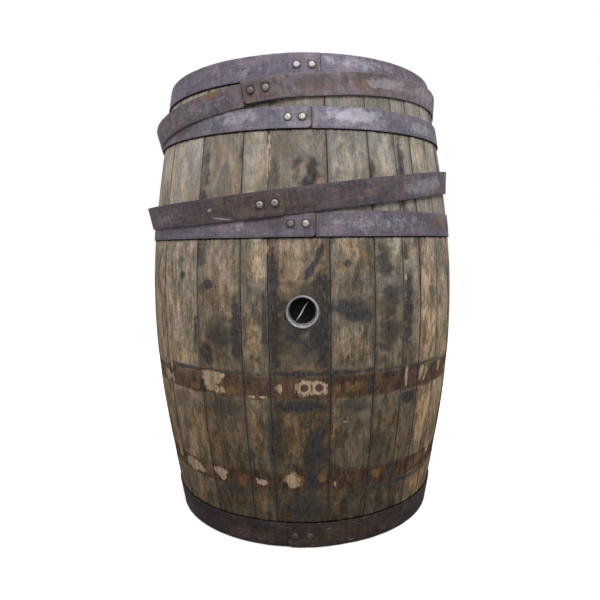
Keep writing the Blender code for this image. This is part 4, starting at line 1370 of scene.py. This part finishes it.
def rib_rings():
    """The thin rib across the plug: a slightly bowed ridge that tapers to its ends."""
    reach = PLUG_DISH[0] + 0.0014
    rings = []
    for along in np.linspace(-1, 1, 41):
        width = RIB_HALF_WIDTH * (1 - 0.80 * abs(along) ** 1.8)
        bow = 0.0006 * math.sin(math.pi * along)
        crest = RIB_CREST - 0.0005 * along**2
        floor = -PLUG_DISH[1] - 0.001
        flank = [(-1.0, floor), (-0.9, crest - 0.0016), (-0.6, crest - 0.0004), (0, crest),
                 (0.6, crest - 0.0004), (0.9, crest - 0.0016), (1.0, floor)]
        rings.append([(along * reach, bow + side * width, height) for side, height in flank])
    return rings


def joined(*parts):
    """Mesh data of several separate shapes as one."""
    points = []
    faces = []
    for part_points, part_faces in parts:
        faces += [[corner + sum(map(len, points)) for corner in face] for face in part_faces]
        points.append(part_points)
    return np.concatenate(points), faces


def add_bung():
    low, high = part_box("bung_bush")
    mouth = Matrix.Translation((0, low.y, (low.z + high.z) / 2)) @ Matrix.Rotation(math.pi / 2, 4, "X")
    points, faces = turned(bush_profile((high.z - low.z) / 2), 128)
    mesh = make_mesh("bung_bush", points, faces, 30)
    turn = np.arctan2(points[:, 1], points[:, 0])
    reach = np.hypot(points[:, 0], points[:, 1])
    store(mesh, "run", np.stack([turn * 0.025, reach, points[:, 2]], -1))
    # Painted shade on the upper-left side and a painted shadow round the flange's outer edge.
    upper_left = 0.5 - 0.5 * np.cos(turn + math.radians(45))
    store(mesh, "soot", 0.55 * upper_left**1.5 + 0.25 * smooth(reach, 0.0272, 0.0283))
    mesh.transform(mouth)
    add_piece("bung_bush", mesh, "cask", bush_material())

    face = bore_at(PLUG_FACE_DEPTH) - PLUG_CLEARANCE
    tail = bore_at(PLUG_FACE_DEPTH + PLUG_LENGTH) - PLUG_CLEARANCE
    dish, depth = PLUG_DISH
    profile = [
        (0.0, -depth), (dish * 0.5, -depth), (dish - 0.0024, -depth), (dish - 0.0012, -depth * 0.80),
        (dish - 0.0003, -depth * 0.35), (dish + 0.0004, -0.0002), (dish + 0.001, 0.0),
        (face - 0.0007, 0.0), (face, -0.0007), (tail, 0.001 - PLUG_LENGTH), (tail - 0.001, -PLUG_LENGTH),
        (0.0, -PLUG_LENGTH),
    ]
    body_points, body_faces = turned(profile, 128)
    rib_points, rib_faces = loft(rib_rings())
    points, faces = joined((body_points, body_faces), (rib_points, rib_faces))
    mesh = make_mesh("bung_plug", points, faces, 35)
    # A painted highlight along the rib's crest, stored under the name worn.
    worn = np.zeros(len(points))
    crest = len(body_points)
    worn[crest:] = smooth(points[crest:, 2], -0.0016, 0.0002)
    store(mesh, "worn", worn)
    store(mesh, "run", points + 0.4)
    seat = Matrix.Translation((0, 0, -PLUG_FACE_DEPTH)) @ Matrix.Rotation(math.radians(RIB_SLANT), 4, "Z")
    mesh.transform(mouth @ seat)
    add_piece("bung_plug", mesh, "bung", plug_material())


# ---------------------------------------------------------------- floor, light and camera


FLOOR_REACH = 8
FLOOR_DROP = 0.0005
FLOOR_GLOW = 0.42


def add_floor():
    corners = ((-1, -1), (1, -1), (1, 1), (-1, 1))
    points = [(x * FLOOR_REACH, y * FLOOR_REACH, 0) for x, y in corners]
    mesh = bpy.data.meshes.new("floor")
    mesh.from_pydata(points, [], [(0, 1, 2, 3)])
    nodes = Nodes("pale floor")
    speck = nodes.noise(nodes.put("TexCoord", {}, "Object"), (1, 1, 1), 3)
    pale = nodes.mix(speck, (0.90, 0.90, 0.90), (0.93, 0.93, 0.93))
    nodes.shader.inputs["Emission Color"].default_value = (1, 1, 1, 1)
    nodes.shader.inputs["Emission Strength"].default_value = FLOOR_GLOW
    mesh.materials.append(nodes.finish(pale, 0.9, [], 0.2))
    floor = add_object("floor", mesh)
    floor.location.z = -FLOOR_DROP
    floor.visible_diffuse = False
    floor.visible_glossy = False


LIGHTS = (  # name, place, what it points at, size, watts
    ("key", (0.5, -2.2, 2.9), (0, 0, 0.5), 1.8, 56),
    ("top", (-0.4, 0.4, 3.2), (0, 0, 0.6), 2.2, 30),
)


def add_light(name, place, target, size, power):
    light = bpy.data.lights.new(name, "AREA")
    light.shape = "DISK"
    light.size = size
    light.energy = power
    lamp = add_object(name, light)
    lamp.location = place
    lamp.rotation_euler = (Vector(target) - Vector(place)).to_track_quat("-Z", "Y").to_euler()


SKY = 0.95
GROUND = 0.24
HORIZON = (-0.45, 0.35)  # height on a unit sphere of the ground's upper and the sky's lower edge


def add_world():
    """White to the camera; to the barrel a soft bright sky over a dim ground."""
    world = bpy.data.worlds.new("studio")
    world.use_nodes = True
    tree = world.node_tree
    backdrop = tree.nodes["Background"]
    backdrop.inputs["Color"].default_value = (1, 1, 1, 1)
    backdrop.inputs["Strength"].default_value = 1.0
    way = tree.nodes.new("ShaderNodeTexCoord")
    parts = tree.nodes.new("ShaderNodeSeparateXYZ")
    rise = tree.nodes.new("ShaderNodeMapRange")
    rise.interpolation_type = "SMOOTHSTEP"
    limits = zip(("From Min", "From Max", "To Min", "To Max"), (*HORIZON, GROUND, SKY))
    for socket, value in limits:
        rise.inputs[socket].default_value = value
    tree.links.new(way.outputs["Generated"], parts.inputs[0])
    tree.links.new(parts.outputs["Z"], rise.inputs["Value"])
    lit = tree.nodes.new("ShaderNodeBackground")
    tree.links.new(rise.outputs[0], lit.inputs["Strength"])
    chooser = tree.nodes.new("ShaderNodeMixShader")
    path = tree.nodes.new("ShaderNodeLightPath")
    tree.links.new(path.outputs["Is Camera Ray"], chooser.inputs[0])
    tree.links.new(lit.outputs[0], chooser.inputs[1])
    tree.links.new(backdrop.outputs[0], chooser.inputs[2])
    tree.links.new(chooser.outputs[0], tree.nodes["World Output"].inputs["Surface"])
    bpy.context.scene.world = world


def add_camera():
    pitch = math.radians(PITCH_DOWN)
    yaw = math.radians(YAW)
    ahead = Vector((-math.sin(yaw) * math.cos(pitch), math.cos(yaw) * math.cos(pitch), -math.sin(pitch)))
    right = Vector((math.cos(yaw), math.sin(yaw), 0))
    level = Matrix((right, right.cross(ahead), -ahead)).transposed()
    turn = level @ Matrix.Rotation(math.radians(ROLL), 3, "Z")
    camera = bpy.data.cameras.new("camera")
    camera.lens = LENS
    camera.sensor_width = SENSOR_WIDTH
    camera.clip_end = CAMERA_REACH
    obj = add_object("camera", camera)
    obj.matrix_world = Matrix.Translation(EYE) @ turn.to_4x4()
    bpy.context.scene.camera = obj


RIVET_FINISH = rivet_material()
add_camera()
add_world()
add_floor()
for light in LIGHTS:
    add_light(*light)
bpy.context.scene.view_settings.view_transform = "Standard"
add_staves()
add_heads()
add_hoops()
add_bung()
